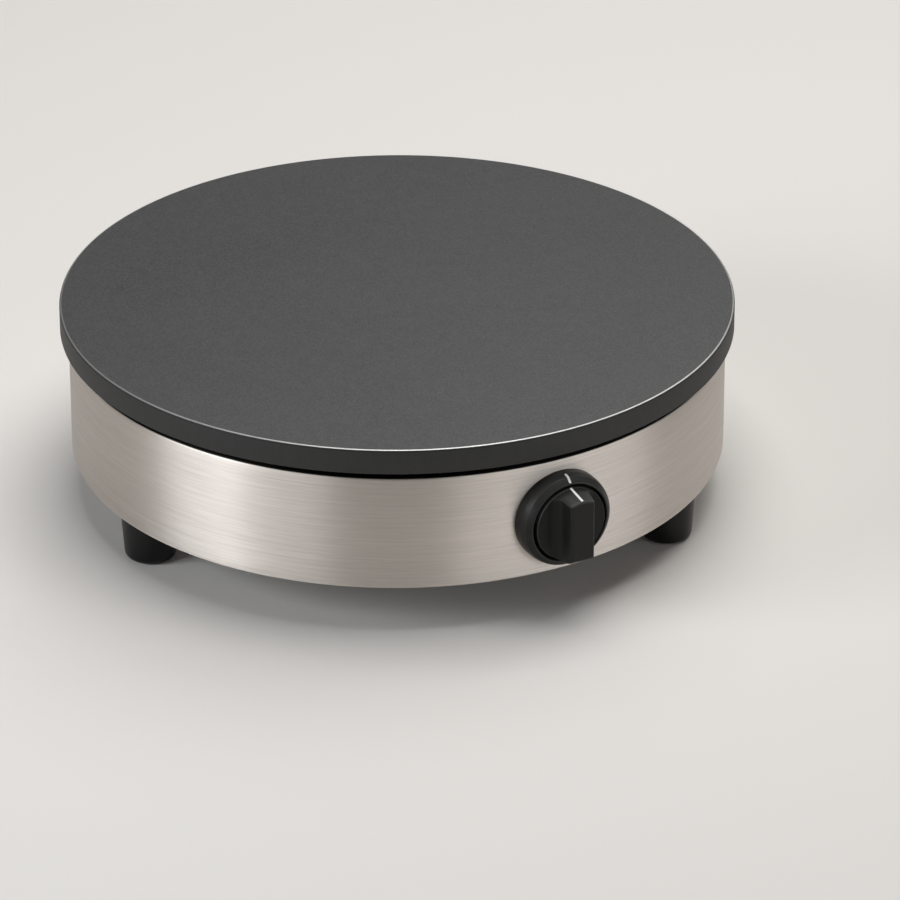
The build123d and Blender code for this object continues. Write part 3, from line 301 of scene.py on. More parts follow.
def castEnamel():
    paint = Paint("sandy enamel")
    point = paint.place()
    across, along, up = paint.axes(point)
    radius = (across * across + along * along) ** 0.5
    grain = paint.noise(point, 1 / griddleFinish["grain"], 5.0, 0.82)
    pits = paint.cells(point, 1 / griddleFinish["pit"])
    blotch = paint.noise(point, griddleFinish["blotches"], 2.0)
    cloud = paint.noise(point, griddleFinish["clouds"], 2.0)
    streaks = paint.noise(paint.stretch(point, griddleFinish["streaks"]), 1.0)
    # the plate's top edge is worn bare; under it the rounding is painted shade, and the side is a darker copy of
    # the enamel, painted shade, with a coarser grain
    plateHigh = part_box("griddle_plate")[1]
    rim = paint.short(radius, plateHigh.x, griddleFinish["rimBand"])
    rollShade = rim * paint.short(up, plateHigh.z, griddleFinish["rollBand"], 1.0, 0.0)
    side = rollShade * paint.short(up, plateHigh.z, griddleFinish["sideBand"], 1.0, 0.0)
    worn = ((rim - rollShade) * (grain * 0.9 + 0.4)).clip()
    grainShare, blotchShare, cloudShare = griddleFinish["shares"]
    speckle = paint.ramp(grain, *griddleFinish["speckle"]) * grainShare
    speckle = speckle + blotch * blotchShare + cloud * cloudShare
    coarse = paint.spread(grain) * 0.55 + streaks * 0.35 + 0.25
    colour = paint.blend(speckle, griddleFinish["colour"], griddleFinish["light"])
    # painted shade on the rounding and the side below the worn line
    colour = paint.blend(rollShade, colour, griddleFinish["rollShade"])
    # painted shade on the side, with a coarse grain
    colour = paint.blend(side * coarse, colour, griddleFinish["side"])
    colour = paint.blend(worn, colour, griddleFinish["worn"])
    smoother, rougher = griddleFinish["wornSmoother"], griddleFinish["sideRougher"]
    return paint.finish(
        Base_Color=colour, Metallic=worn * 0.9,
        Roughness=paint.spread(grain, *griddleFinish["roughness"]) - worn * smoother + side * rougher,
        Specular_IOR_Level=griddleFinish["shine"],
        Normal=paint.bump(grain * 0.7 + pits * 0.3, griddleFinish["bump"], griddleFinish["bumpStrength"]),
    )


drumFinish = {
    "colour": rgb(0.500, 0.458, 0.420),
    "pale": rgb(0.785, 0.727, 0.676),
    "lip": rgb(0.012, 0.011, 0.01),        # upper rolled edge and inside of the top, painted shade of the gap under the griddle
    "bend": rgb(0.88, 0.82, 0.765),        # lower bend, painted highlight
    "lines": (9.0, 9.0, 2600.0),           # brush marks per metre along, along and up
    "streaks": (26.0, 26.0, 1000.0),
    "longMarks": (3.0, 3.0, 400.0),
    "clouds": 14.0,
    "shares": (0.3, 0.4, 0.15, 0.15),      # of lines, streaks, long marks and clouds in the tone
    "bump": 0.03 * mm,
    "bumpStrength": 0.4,
    "roughness": (0.38, 0.48),
    "brushed": 0.92,                       # how far the gloss is drawn out across the brush lines
    "brushTurn": 0.25,
    "innerBand": (0.95 * mm, 0.85 * mm),   # in from the drum's side
    "innerDrop": (4.0 * mm, 3.5 * mm),     # down from its top
    "gapShadeDrop": (1.25 * mm, 0.8 * mm),
    "bendHighlightRise": (1.0 * mm, 1.9 * mm),      # up from its lower edge
    "bendHighlightShare": 0.7,
}


def brushedDrum():
    paint = Paint("brushed drum")
    point = paint.place()
    across, along, up = paint.axes(point)
    radius = (across * across + along * along) ** 0.5
    lines = paint.noise(paint.stretch(point, drumFinish["lines"]), 1.0, 4.0, 0.65)
    streaks = paint.noise(paint.stretch(point, drumFinish["streaks"]), 1.0, 3.0, 0.6)
    longMarks = paint.noise(paint.stretch(point, drumFinish["longMarks"]), 1.0, 2.0)
    cloud = paint.noise(point, drumFinish["clouds"], 2.0)
    lineShare, streakShare, markShare, cloudShare = drumFinish["shares"]
    tone = paint.spread(lines) * lineShare + paint.spread(streaks) * streakShare
    tone = tone + longMarks * markShare + cloud * cloudShare
    low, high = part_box("body_skirt")
    # a painted highlight along the lower bend
    bendLow, bendHigh = drumFinish["bendHighlightRise"]
    bend = paint.ramp(up, low.z + bendLow, low.z + bendHigh, drumFinish["bendHighlightShare"], 0.0)
    # painted shade of the gap under the griddle, inside the drum's top and on its upper rolled edge
    inner = paint.short(radius, high.x, drumFinish["innerBand"], 1.0, 0.0)
    lip = inner * paint.short(up, high.z, drumFinish["innerDrop"])
    lip = (lip + paint.short(up, high.z, drumFinish["gapShadeDrop"])).clip()
    colour = paint.blend(tone, drumFinish["colour"], drumFinish["pale"])
    colour = paint.blend(bend, colour, drumFinish["bend"])
    colour = paint.blend(lip, colour, drumFinish["lip"])
    return paint.finish(
        Base_Color=colour, Metallic=1.0,
        Roughness=paint.ramp(streaks, 0.25, 0.75, *drumFinish["roughness"]),
        Anisotropic=drumFinish["brushed"], Anisotropic_Rotation=drumFinish["brushTurn"],
        Normal=paint.bump(
            lines * 0.4 + streaks * 0.6, drumFinish["bump"], drumFinish["bumpStrength"],
        ),
    )


metals = {
    # slot: name, dark, light, roughness, grains per metre
    "base_steel": ("galvanised sheet", rgb(0.40, 0.40, 0.40), rgb(0.56, 0.57, 0.58), 0.42, 300.0),
    "mill_steel": ("mill steel", rgb(0.24, 0.24, 0.24), rgb(0.42, 0.42, 0.42), 0.45, 700.0),
    "zinc_steel": ("zinc plate", rgb(0.52, 0.53, 0.55), rgb(0.70, 0.71, 0.73), 0.28, 900.0),
    "element_sheath": ("element sheath", rgb(0.10, 0.10, 0.11), rgb(0.24, 0.25, 0.25), 0.5, 500.0),
    "shield_aluminium": ("aluminised sheet", rgb(0.62, 0.63, 0.64), rgb(0.78, 0.79, 0.80), 0.35, 400.0),
    "brass_contact": ("brass", rgb(0.55, 0.40, 0.16), rgb(0.74, 0.58, 0.28), 0.32, 800.0),
    "capillary_copper": ("drawn copper", rgb(0.56, 0.30, 0.18), rgb(0.76, 0.46, 0.32), 0.3, 900.0),
}


metalLook = {
    "roughnessSwing": 0.06,                # to each side of a slot's own
    "bump": 0.03 * mm,
    "bumpStrength": 0.3,
}


def plainMetal(name, dark, light, roughness, scale):
    paint = Paint(name)
    point = paint.place()
    grain = paint.noise(point, scale, 4.0, 0.6)
    cloud = paint.noise(point, scale / 20, 2.0)
    swing = metalLook["roughnessSwing"]
    return paint.finish(
        Base_Color=paint.blend(grain * 0.5 + cloud * 0.5, dark, light), Metallic=1.0,
        Roughness=paint.spread(grain, roughness - swing, roughness + swing),
        Normal=paint.bump(grain, metalLook["bump"], metalLook["bumpStrength"]),
    )


plastics = {
    # slot: name, dark, light, roughness, grains per metre, shine, colour of the painted light on what faces up,
    # colour of the painted edge highlight
    "steatite": ("steatite", rgb(0.70, 0.66, 0.58), rgb(0.86, 0.83, 0.76), 0.6, 900.0),
    "foot_plastic": (
        "foot plastic", rgb(0.004, 0.004, 0.004), rgb(0.008, 0.008, 0.008), 0.34, 2400.0, 0.27,
    ),
    "knob_plastic": (
        "knob plastic", rgb(0.009, 0.009, 0.0088), rgb(0.017, 0.017, 0.0165), 0.34, 2600.0, 0.2,
        rgb(0.044, 0.044, 0.042), rgb(0.075, 0.075, 0.073),
    ),
    "white_mark": ("white inlay", rgb(0.84, 0.84, 0.82), rgb(0.92, 0.92, 0.91), 0.4, 2000.0),
    "limiter_plastic": ("black phenolic", rgb(0.03, 0.03, 0.03), rgb(0.06, 0.06, 0.06), 0.3, 1500.0),
    "gland_plastic": ("black polyamide", rgb(0.02, 0.02, 0.02), rgb(0.035, 0.035, 0.035), 0.45, 2000.0),
    "seal_rubber": ("seal rubber", rgb(0.018, 0.018, 0.018), rgb(0.03, 0.03, 0.03), 0.7, 1800.0),
}


plasticLook = {
    "clouds": 60.0,                        # per metre
    "paintedTopLightFacing": (0.1, 0.75),             # how far up a face looks where the painted light starts and is full
    "paintedShadeShare": 0.85,                   # how dark the painted shade in hollows gets
    "smoother": 0.05,                      # than a slot's own roughness, at the least
    "rougher": 0.07,                       # and at the most
    "bump": 0.03 * mm,
    "bumpStrength": 0.4,
}


def mouldedPlastic(name, dark, light, roughness, scale, shine=0.5, paintedTopLightColour=None, paintedEdgeHighlight=None):
    paint = Paint(name)
    point = paint.place()
    grain = paint.noise(point, scale, 3.0, 0.6)
    cloud = paint.noise(point, plasticLook["clouds"], 2.0)
    colour = paint.blend(paint.ramp(grain, 0.4, 0.75) * 0.6 + cloud * 0.2, dark, light)
    if paintedTopLightColour:                              # painted light on what faces up
        paintedTopLight = paint.ramp(paint.upward(), *plasticLook["paintedTopLightFacing"]) * (grain * 0.6 + 0.7)
        colour = paint.blend(paintedTopLight, colour, paintedTopLightColour)
    if paintedEdgeHighlight:                             # painted shade in hollows, and a painted highlight on tight edges outside them
        paintedShade = paint.mark("paintedShade")
        colour = paint.blend(paintedShade * plasticLook["paintedShadeShare"], colour, rgb(0.0, 0.0, 0.0))
        # painted highlight on tight edges, kept out of the painted shade
        edges = paint.mark("worn") * (1 - paintedShade) * (grain * 0.8 + 0.4)
        colour = paint.blend(edges, colour, paintedEdgeHighlight)
    least, most = roughness - plasticLook["smoother"], roughness + plasticLook["rougher"]
    return paint.finish(
        Base_Color=colour, Roughness=paint.spread(grain, least, most), Specular_IOR_Level=shine,
        Normal=paint.bump(grain, plasticLook["bump"], plasticLook["bumpStrength"]),
    )


fibreFinish = {
    "colour": rgb(0.66, 0.65, 0.61),
    "pale": rgb(0.88, 0.87, 0.83),
    "tufts": (300.0, 300.0, 120.0),        # per metre along, along and up
    "roughness": 0.95,
    "sheen": 0.3,
    "bump": 0.6 * mm,
    "bumpStrength": 0.8,
}


def ceramicFibre():
    paint = Paint("ceramic fibre")
    fluff = paint.noise(paint.stretch(paint.place(), fibreFinish["tufts"]), 1.0, 6.0, 0.7)
    return paint.finish(
        Base_Color=paint.blend(fluff, fibreFinish["colour"], fibreFinish["pale"]),
        Roughness=fibreFinish["roughness"], Sheen_Weight=fibreFinish["sheen"],
        Normal=paint.bump(fluff, fibreFinish["bump"], fibreFinish["bumpStrength"]),
    )


sleeves = {
    # slot: name, dark, light
    "lead_sleeve_brown": ("brown sleeve", rgb(0.13, 0.06, 0.03), rgb(0.26, 0.13, 0.07)),
    "lead_sleeve_blue": ("blue sleeve", rgb(0.04, 0.09, 0.28), rgb(0.10, 0.20, 0.48)),
    "lead_sleeve_green": ("green sleeve", rgb(0.12, 0.28, 0.05), rgb(0.40, 0.50, 0.10)),
}


sleeveLook = {
    "braid": {"Scale": 380.0, "Distortion": 2.0, "Detail": 2.0},
    "roughness": 0.8,
    "bump": 0.1 * mm,
    "bumpStrength": 0.6,
}


def braidedSleeve(name, dark, light):
    paint = Paint(name)
    sockets = {"Vector": paint.place(), **sleeveLook["braid"]}
    strands = paint.add("ShaderNodeTexWave", {"bands_direction": "DIAGONAL"}, sockets)
    return paint.finish(
        Base_Color=paint.blend(strands, dark, light), Roughness=sleeveLook["roughness"],
        Normal=paint.bump(strands, sleeveLook["bump"], sleeveLook["bumpStrength"]),
    )


finishes = {
    "cast_iron_enamel": castEnamel(),
    "brushed_stainless": brushedDrum(),
    "ceramic_fibre": ceramicFibre(),
}
for slot, look in metals.items():
    finishes[slot] = plainMetal(*look)
for slot, look in plastics.items():
    finishes[slot] = mouldedPlastic(*look)
for slot, look in sleeves.items():
    finishes[slot] = braidedSleeve(*look)
for name, node in nodes.items():
    for slot in node.material_slots:
        slot.material = finishes[slotOfNode[name]]
print("finishes made,", len(finishes))


# Modelling helpers

def drawOutline(points, rounds=None, arcSteps=6, closed=False):   # points are across and up
    work = bmesh.new()
    corners = [work.verts.new((across, 0, up)) for across, up in points]
    pairs = list(zip(corners, corners[1:]))
    if closed:
        pairs.append((corners[-1], corners[0]))
    for first, second in pairs:
        work.edges.new((first, second))
    for index, radius in (rounds or {}).items():
        here = Vector(points[index])
        before = (Vector(points[index - 1]) - here).normalized()
        after = (Vector(points[(index + 1) % len(points)]) - here).normalized()
        bmesh.ops.bevel(
            work, geom=[corners[index]], offset=radius / math.tan(before.angle(after) / 2),
            segments=arcSteps, profile=0.5, affect="VERTICES", material=-1,
        )
    return work


def spinOpen(work, steps):                 # leaves the faces as they come
    bmesh.ops.spin(
        work, geom=work.verts[:] + work.edges[:], cent=(0, 0, 0), axis=(0, 0, 1),
        angle=2 * math.pi, steps=steps, use_merge=True,
    )
    bmesh.ops.remove_doubles(work, verts=work.verts[:], dist=hair)


def spinRound(work, steps):                # turns the faces outwards as well
    spinOpen(work, steps)
    bmesh.ops.recalc_face_normals(work, faces=work.faces[:])


def moveTo(work, matrix):
    bmesh.ops.transform(work, matrix=matrix, verts=work.verts[:])


def joinInto(whole, part):                 # adds one bmesh to another and empties it
    mesh = bpy.data.meshes.new("joined")
    part.to_mesh(mesh)
    part.free()
    whole.from_mesh(mesh)
    bpy.data.meshes.remove(mesh)


edgeHighlightSpan = {
    "tightest": 0.35 * mm,                 # a rounding of this radius gets the painted edge highlight in full
    "widest": 1.4 * mm,                    # and one of this radius not at all
    "leastStep": 0.01 * mm,
}
sharpAngle = math.radians(35)              # steeper edges stay crisp


def markEdgeHighlight(work):                        # tight outward roundings, kept in the worn mark that the knob plastic reads for its painted edge highlight
    worn = work.loops.layers.float.new("worn")
    for face in work.faces:
        bend = 0
        for edge in face.edges:
            if len(edge.link_faces) == 2 and edge.is_convex:
                first, second = (side.calc_center_median() for side in edge.link_faces)
                bend = max(bend, edge.calc_face_angle() / max((first - second).length, edgeHighlightSpan["leastStep"]))
        share = (bend * edgeHighlightSpan["widest"] - 1) / (edgeHighlightSpan["widest"] / edgeHighlightSpan["tightest"] - 1)
        for loop in face.loops:
            loop[worn] = min(max(share, 0), 1)


def markPaintedShade(work, deep, shallow, least=-math.inf):   # painted shade, full at one distance out and gone at another
    paintedShade = work.loops.layers.float.new("paintedShade")
    for face in work.faces:
        if min(vertex.co.z for vertex in face.verts) < least:
            continue
        for loop in face.loops:
            share = (shallow - loop.vert.co.z) / (shallow - deep)
            loop[paintedShade] = min(max(share, 0), 1)


def addPiece(name, work, body, slot, replaced):
    markEdgeHighlight(work)
    for face in work.faces:
        face.smooth = True
    mesh = bpy.data.meshes.new(name)
    work.to_mesh(mesh)
    work.free()
    mesh.set_sharp_from_angle(angle=sharpAngle)
    mesh.materials.append(finishes[slot])
    piece = bpy.data.objects.new(name, mesh)
    bpy.context.scene.collection.objects.link(piece)
    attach(piece, body)
    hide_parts(*replaced)


def facing(out, radius, height):           # x along the drum, y up, z outwards
    up = Vector((0, 0, 1))
    side = up.cross(out)
    matrix = Matrix((side, up, out)).transposed().to_4x4()
    matrix.translation = out * radius + up * height
    return matrix


# Drum

drum = {
    "wall": 1.0 * mm,
    "bend": 2.0 * mm,
    "lip": 9.0 * mm,
    "flange": 13.0 * mm,
    "knobHole": 7.0 * mm,
    "glandHole": 10.05 * mm,
    "holeFacing": 0.9,                     # how squarely a face looks out that a hole cuts away
    "holeReach": 2 * mm,                   # how near the hole's own plane its rim lies
    "seamSide": 22 * mm,                   # how far the welded seam is from the gland's middle
    "seamWidth": 1.6 * mm,
    "seamThick": 0.3 * mm,
    "seamEdge": 0.01 * mm,                 # how far it stands out at its edges
    "seamCrown": 0.11 * mm,                # and how much more at its middle
    "seamWander": [(0.12 * mm, 1.9 * mm), (0.1 * mm, 0.7 * mm)],   # swings and their lengths
    "seamColumns": 6,
    "seamRows": 60,
    "rows": 16,
    "steps": 256,
}
drumLow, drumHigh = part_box("body_skirt")
drumRadius = drumHigh.x
knobJoint = joints["knob_turn"]
knobOut = -Vector(knobJoint["axis"])
knobHeight = knobJoint["pos_m"][2]
knobPlace = facing(knobOut, drumRadius, knobHeight)
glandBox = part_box("cable_gland")
glandHeight = (glandBox[0].z + glandBox[1].z) / 2
glandPlace = facing(Vector((0, 1, 0)), drumRadius, glandHeight)


def onDrum(x):                             # how far out the drum's side is, x to one side of a part's axis
    return math.sqrt(drumRadius ** 2 - x ** 2) - drumRadius


def openHole(work, place, radius):         # the faces inside it go, and the rest is drawn up to its rim
    centre = place.translation
    out = place.col[2].to_3d()
    near = [
        face for face in work.faces
        if (face.calc_center_median() - centre).length < radius
        and face.normal.dot(out) > drum["holeFacing"]
    ]
    bmesh.ops.delete(work, geom=near, context="FACES")
    inverse = place.inverted()
    for vertex in work.verts:
        local = inverse @ vertex.co
        flat = Vector((local.x, local.y))
        if vertex.is_boundary and flat.length < 2 * radius and abs(local.z) < drum["holeReach"]:
            flat = flat.normalized() * radius
            vertex.co = place @ Vector((flat.x, flat.y, onDrum(flat.x)))


def addDrum():
    work = drawOutline([
        (drumRadius - drum["flange"], drumLow.z),
        (drumRadius, drumLow.z),
        (drumRadius, drumHigh.z),
        (drumRadius - drum["lip"], drumHigh.z),
    ], {1: drum["bend"], 2: drum["bend"]})
    side = max(work.edges, key=lambda edge: edge.calc_length())
    bmesh.ops.subdivide_edges(work, edges=[side], cuts=drum["rows"] - 1)
    spinRound(work, drum["steps"])
    openHole(work, knobPlace, drum["knobHole"])
    openHole(work, glandPlace, drum["glandHole"])
    bmesh.ops.solidify(work, geom=work.faces[:], thickness=drum["wall"])
    joinInto(work, layWeld())
    addPiece("dressed_drum", work, "chassis", "brushed_stainless", ["body_skirt"])


def layWeld():                             # the ground-back seam up the rear
    low, high = drumLow.z + 2 * drum["bend"], drumHigh.z - 2 * drum["bend"]
    work = bmesh.new()
    bmesh.ops.create_grid(
        work, x_segments=drum["seamColumns"], y_segments=drum["seamRows"], size=1,
    )
    for vertex in work.verts:
        across, along = vertex.co.x, vertex.co.y
        height = low + (high - low) * (along + 1) / 2
        wander = sum(swing * math.sin(height / length) for swing, length in drum["seamWander"])
        x = drum["seamSide"] + across * drum["seamWidth"] / 2 + wander
        proud = drum["seamEdge"] + drum["seamCrown"] * (1 - across ** 2)
        vertex.co = (x, drumRadius + onDrum(x) + proud, height)
    bmesh.ops.recalc_face_normals(work, faces=work.faces[:])
    if sum(face.normal.y for face in work.faces) < 0:
        bmesh.ops.reverse_faces(work, faces=work.faces[:])
    bmesh.ops.solidify(work, geom=work.faces[:], thickness=drum["seamThick"])
    return work


addDrum()
print("drum made")


# Griddle

griddle = {
    "edge": 1.2 * mm,
    "underEdge": 0.3 * mm,
    "grooveDepth": 3.0 * mm,
    "grooveHalf": 4.55 * mm,
    "grooves": (48.0 * mm, 97.0 * mm, 150.0 * mm),
    "bosses": [                            # three of each: distance from the axis, first angle, radius
        (123.5 * mm, -60, 11.0 * mm), (72.5 * mm, -15, 7.0 * mm), (123.5 * mm, -15, 7.0 * mm),
    ],
    "bossDrop": 3.0 * mm,
    "bossRound": 0.8 * mm,
    "bossSunk": 0.5 * mm,                  # how far it goes up into the plate
    "bossSteps": 48,
    "steps": 256,
}


def spot(angle, radius, height):           # angle round from the front towards +X
    angle = math.radians(angle)
    return Vector((radius * math.sin(angle), -radius * math.cos(angle), height))


def addGriddle():
    low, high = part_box("griddle_plate")
    radius = high.x
    under = low.z + griddle["bossDrop"]
    points = [(0, under)]
    for middle in griddle["grooves"]:
        near, far = middle - griddle["grooveHalf"], middle + griddle["grooveHalf"]
        roof = under + griddle["grooveDepth"]
        points += [(near, under), (near, roof), (far, roof), (far, under)]
    points += [
        (radius - griddle["underEdge"], under), (radius, under + griddle["underEdge"]),
        (radius, high.z), (0, high.z),
    ]
    work = drawOutline(points, {len(points) - 2: griddle["edge"]})
    spinRound(work, griddle["steps"])
    root = under + griddle["bossSunk"]
    for distance, first, bossRadius in griddle["bosses"]:
        for turn in range(3):
            boss = drawOutline([
                (0, low.z), (bossRadius, low.z), (bossRadius, root), (0, root),
            ], {1: griddle["bossRound"]})
            spinRound(boss, griddle["bossSteps"])
            moveTo(boss, Matrix.Translation(spot(first + 120 * turn, distance, 0)))
            joinInto(work, boss)
    addPiece("dressed_griddle", work, "chassis", "cast_iron_enamel", ["griddle_plate"])


addGriddle()
print("griddle made")


# Bezel and knob

bezel = {
    "radius": 28.7 * mm,
    "wall": 4.8 * mm,
    "creaseRadius": 27.9 * mm,
    "crease": 8.5 * mm,
    "lipRadius": 23.9 * mm,
    "lip": 12.8 * mm,
    "floor": 1.4 * mm,
    "hole": 7.0 * mm,
    "wallRound": 5.0 * mm,
    "creaseRound": 0.8 * mm,
    "lipRound": 1.0 * mm,
    "gap": 0.1 * mm,                       # between its back and the drum
    "backCuts": 5,
    "shadeFull": 2.3 * mm,                 # up to this distance out it is in full painted shade
    "open": 7.0 * mm,                      # and from this one it has none, and gets the painted edge highlight as elsewhere
    "steps": 128,
    "markStart": (28.6 * mm, 5.3 * mm),    # radius and distance out
    "markEnd": (25.3 * mm, 11.3 * mm),
    "markWidth": 1.5 * mm,
}


def addBezel():
    work = drawOutline([
        (bezel["hole"], 0),
        (bezel["radius"], 0),
        (bezel["radius"], bezel["wall"]),
        (bezel["creaseRadius"], bezel["crease"]),
        (bezel["lipRadius"], bezel["lip"]),
        (bezel["lipRadius"], bezel["floor"]),
        (bezel["hole"], bezel["floor"]),
    ], {2: bezel["wallRound"], 3: bezel["creaseRound"], 4: bezel["lipRound"]}, closed=True)
    back = [edge for edge in work.edges if all(vertex.co.z < hair for vertex in edge.verts)]
    bmesh.ops.subdivide_edges(work, edges=back, cuts=bezel["backCuts"])
    spinRound(work, bezel["steps"])
    for vertex in work.verts:
        if vertex.co.z < hair:             # the back follows the drum
            vertex.co.z = onDrum(vertex.co.x) + bezel["gap"]
    # painted shade on the wall next to the drum, where the griddle's overhang shades it
    markPaintedShade(work, bezel["shadeFull"], bezel["open"])
    moveTo(work, knobPlace)
    addPiece("dressed_bezel", work, "chassis", "knob_plastic", ["dial_bezel"])
    addStrip("dressed_bezel_mark", [
        bezel["markStart"], (bezel["creaseRadius"], bezel["crease"]), bezel["markEnd"],
    ], {1: bezel["creaseRound"]}, bezel["markWidth"], "chassis", ["bezel_mark"])


strip = {
    "proud": 0.07 * mm,
    "depth": 0.4 * mm,
    "corner": 0.45 * mm,
    "cornerSteps": 4,
}


def addStrip(name, path, rounds, width, body, replaced):   # the path is in radius and distance out
    work = drawOutline(path, rounds)
    wide = bmesh.ops.extrude_edge_only(work, edges=work.edges[:])["geom"]
    far = [item for item in wide if isinstance(item, bmesh.types.BMVert)]
    bmesh.ops.translate(work, verts=far, vec=(0, width, 0))
    bmesh.ops.recalc_face_normals(work, faces=work.faces[:])
    if sum(face.normal.x for face in work.faces) < 0:
        bmesh.ops.reverse_faces(work, faces=work.faces[:])
    corners = [vertex for vertex in work.verts if len(vertex.link_edges) == 2]
    bmesh.ops.bevel(
        work, geom=corners, offset=strip["corner"], segments=strip["cornerSteps"], profile=0.5,
        affect="VERTICES", material=-1,
    )
    bmesh.ops.solidify(work, geom=work.faces[:], thickness=strip["depth"])
    centred = Matrix.Rotation(math.pi / 2, 4, "Z") @ Matrix.Translation((0, -width / 2, 0))
    moveTo(work, Matrix.Translation((0, strip["proud"], 0)) @ centred)
    moveTo(work, knobPlace)
    addPiece(name, work, body, "white_mark", replaced)


knob = {
    "radius": 22.7 * mm,
    "shoulder": 9.0 * mm,
    "frontRadius": 19.9 * mm,
    "front": 26.5 * mm,
    "rear": 1.9 * mm,
    "floor": 12.7 * mm,                    # floor of the scoops
    "foot": 17.8 * mm,                     # flat lower end of the bar, at its front
    "barHalf": 7.6 * mm,
    "barRootHalf": 7.9 * mm,
    "scoop": 6.0 * mm,                     # radius at the scoops' foot
    "shadeRise": 4.8 * mm,                   # how far up from their floor the painted shade reaches
    "shadeSlack": 0.05 * mm,
    "shoulderRound": 3.0 * mm,
    "edge": 1.3 * mm,
    "rimEdge": 0.35 * mm,
    "rimSteps": 3,
    "recess": 7.4 * mm,
    "recessRadius": 19.0 * mm,
    "hub": 6.5 * mm,
    "bore": 3.15 * mm,
    "pointerStart": 11.5 * mm,
    "pointerEnd": 25.1 * mm,
    "pointerWidth": 1.5 * mm,
    "barSunk": 0.8 * mm,                   # how far the bar goes down into the disc
    "barProud": 0.02 * mm,
    "endInset": 0.2 * mm,
    "across": 12,                          # steps over the bar's width
    "along": 24,
    "scoopSteps": 12,
    "sideShares": (0.3, 0.6, 1.0),         # rings up the bar's side, between scoop and front edge
    "edgeSteps": 8,
}


def knobRadius(out):
    share = (out - knob["shoulder"]) / (knob["front"] - knob["shoulder"])
    return knob["radius"] + (knob["frontRadius"] - knob["radius"]) * max(share, 0)


def barHalf(out):                          # half the bar's width, wider down in the scoops
    root = knob["floor"] + knob["scoop"]
    if out < root:
        rise = max(root - max(out, knob["floor"]), 0)
        return knob["barRootHalf"] + knob["scoop"] - math.sqrt(max(knob["scoop"] ** 2 - rise ** 2, 0))
    share = (out - root) / (knob["front"] - root)
    return knob["barRootHalf"] + (knob["barHalf"] - knob["barRootHalf"]) * share


def barFoot(out):                          # height of the bar's lower end under the axis
    share = (out - knob["floor"]) / (knob["front"] - knob["floor"])
    top = knobRadius(knob["floor"])
    return top + (knob["foot"] - top) * max(share, 0)


def barStations():                         # distance out and how far the edge round has drawn in
    stations = [(knob["floor"] - knob["barSunk"], 0), (knob["floor"] - knob["barSunk"] / 2, 0)]
    for step in range(knob["scoopSteps"] + 1):
        lean = math.pi / 2 * step / knob["scoopSteps"]
        stations.append((knob["floor"] + knob["scoop"] * (1 - math.cos(lean)), 0))
    bend = knob["front"] - knob["edge"]
    start = stations[-1][0]
    stations += [(start + (bend - start) * share, 0) for share in knob["sideShares"]]
    for step in range(1, knob["edgeSteps"] + 1):
        lean = math.pi / 2 * step / knob["edgeSteps"]
        stations.append((bend + knob["edge"] * math.sin(lean), knob["edge"] * (1 - math.cos(lean))))
    return stations


def addKnob():
    work = drawOutline([
        (knob["bore"], knob["rear"]), (knob["hub"], knob["rear"]),
        (knob["hub"], knob["recess"]), (knob["recessRadius"], knob["recess"]),
        (knob["recessRadius"], knob["rear"]), (knob["radius"], knob["rear"]),
        (knob["radius"], knob["shoulder"]), (knobRadius(knob["floor"]), knob["floor"]),
        (knob["bore"], knob["floor"]),
    ], {5: knob["rimEdge"], 6: knob["shoulderRound"], 7: knob["rimEdge"]}, closed=True)
    spinRound(work, 4 * knob["along"])
    joinInto(work, shapeBar())
    # painted shade in the scoops, fading up their sides
    markPaintedShade(work, knob["floor"], knob["floor"] + knob["shadeRise"], knob["floor"] - knob["shadeSlack"])
    moveTo(work, knobPlace)
    addPiece("dressed_knob", work, "knob_assembly", "knob_plastic", ["knob"])
    addStrip("dressed_pointer", [
        (knobRadius(knob["pointerStart"]), knob["pointerStart"]),
        (knobRadius(knob["pointerEnd"]), knob["pointerEnd"]),
    ], None, knob["pointerWidth"], "knob_assembly", ["knob_pointer"])


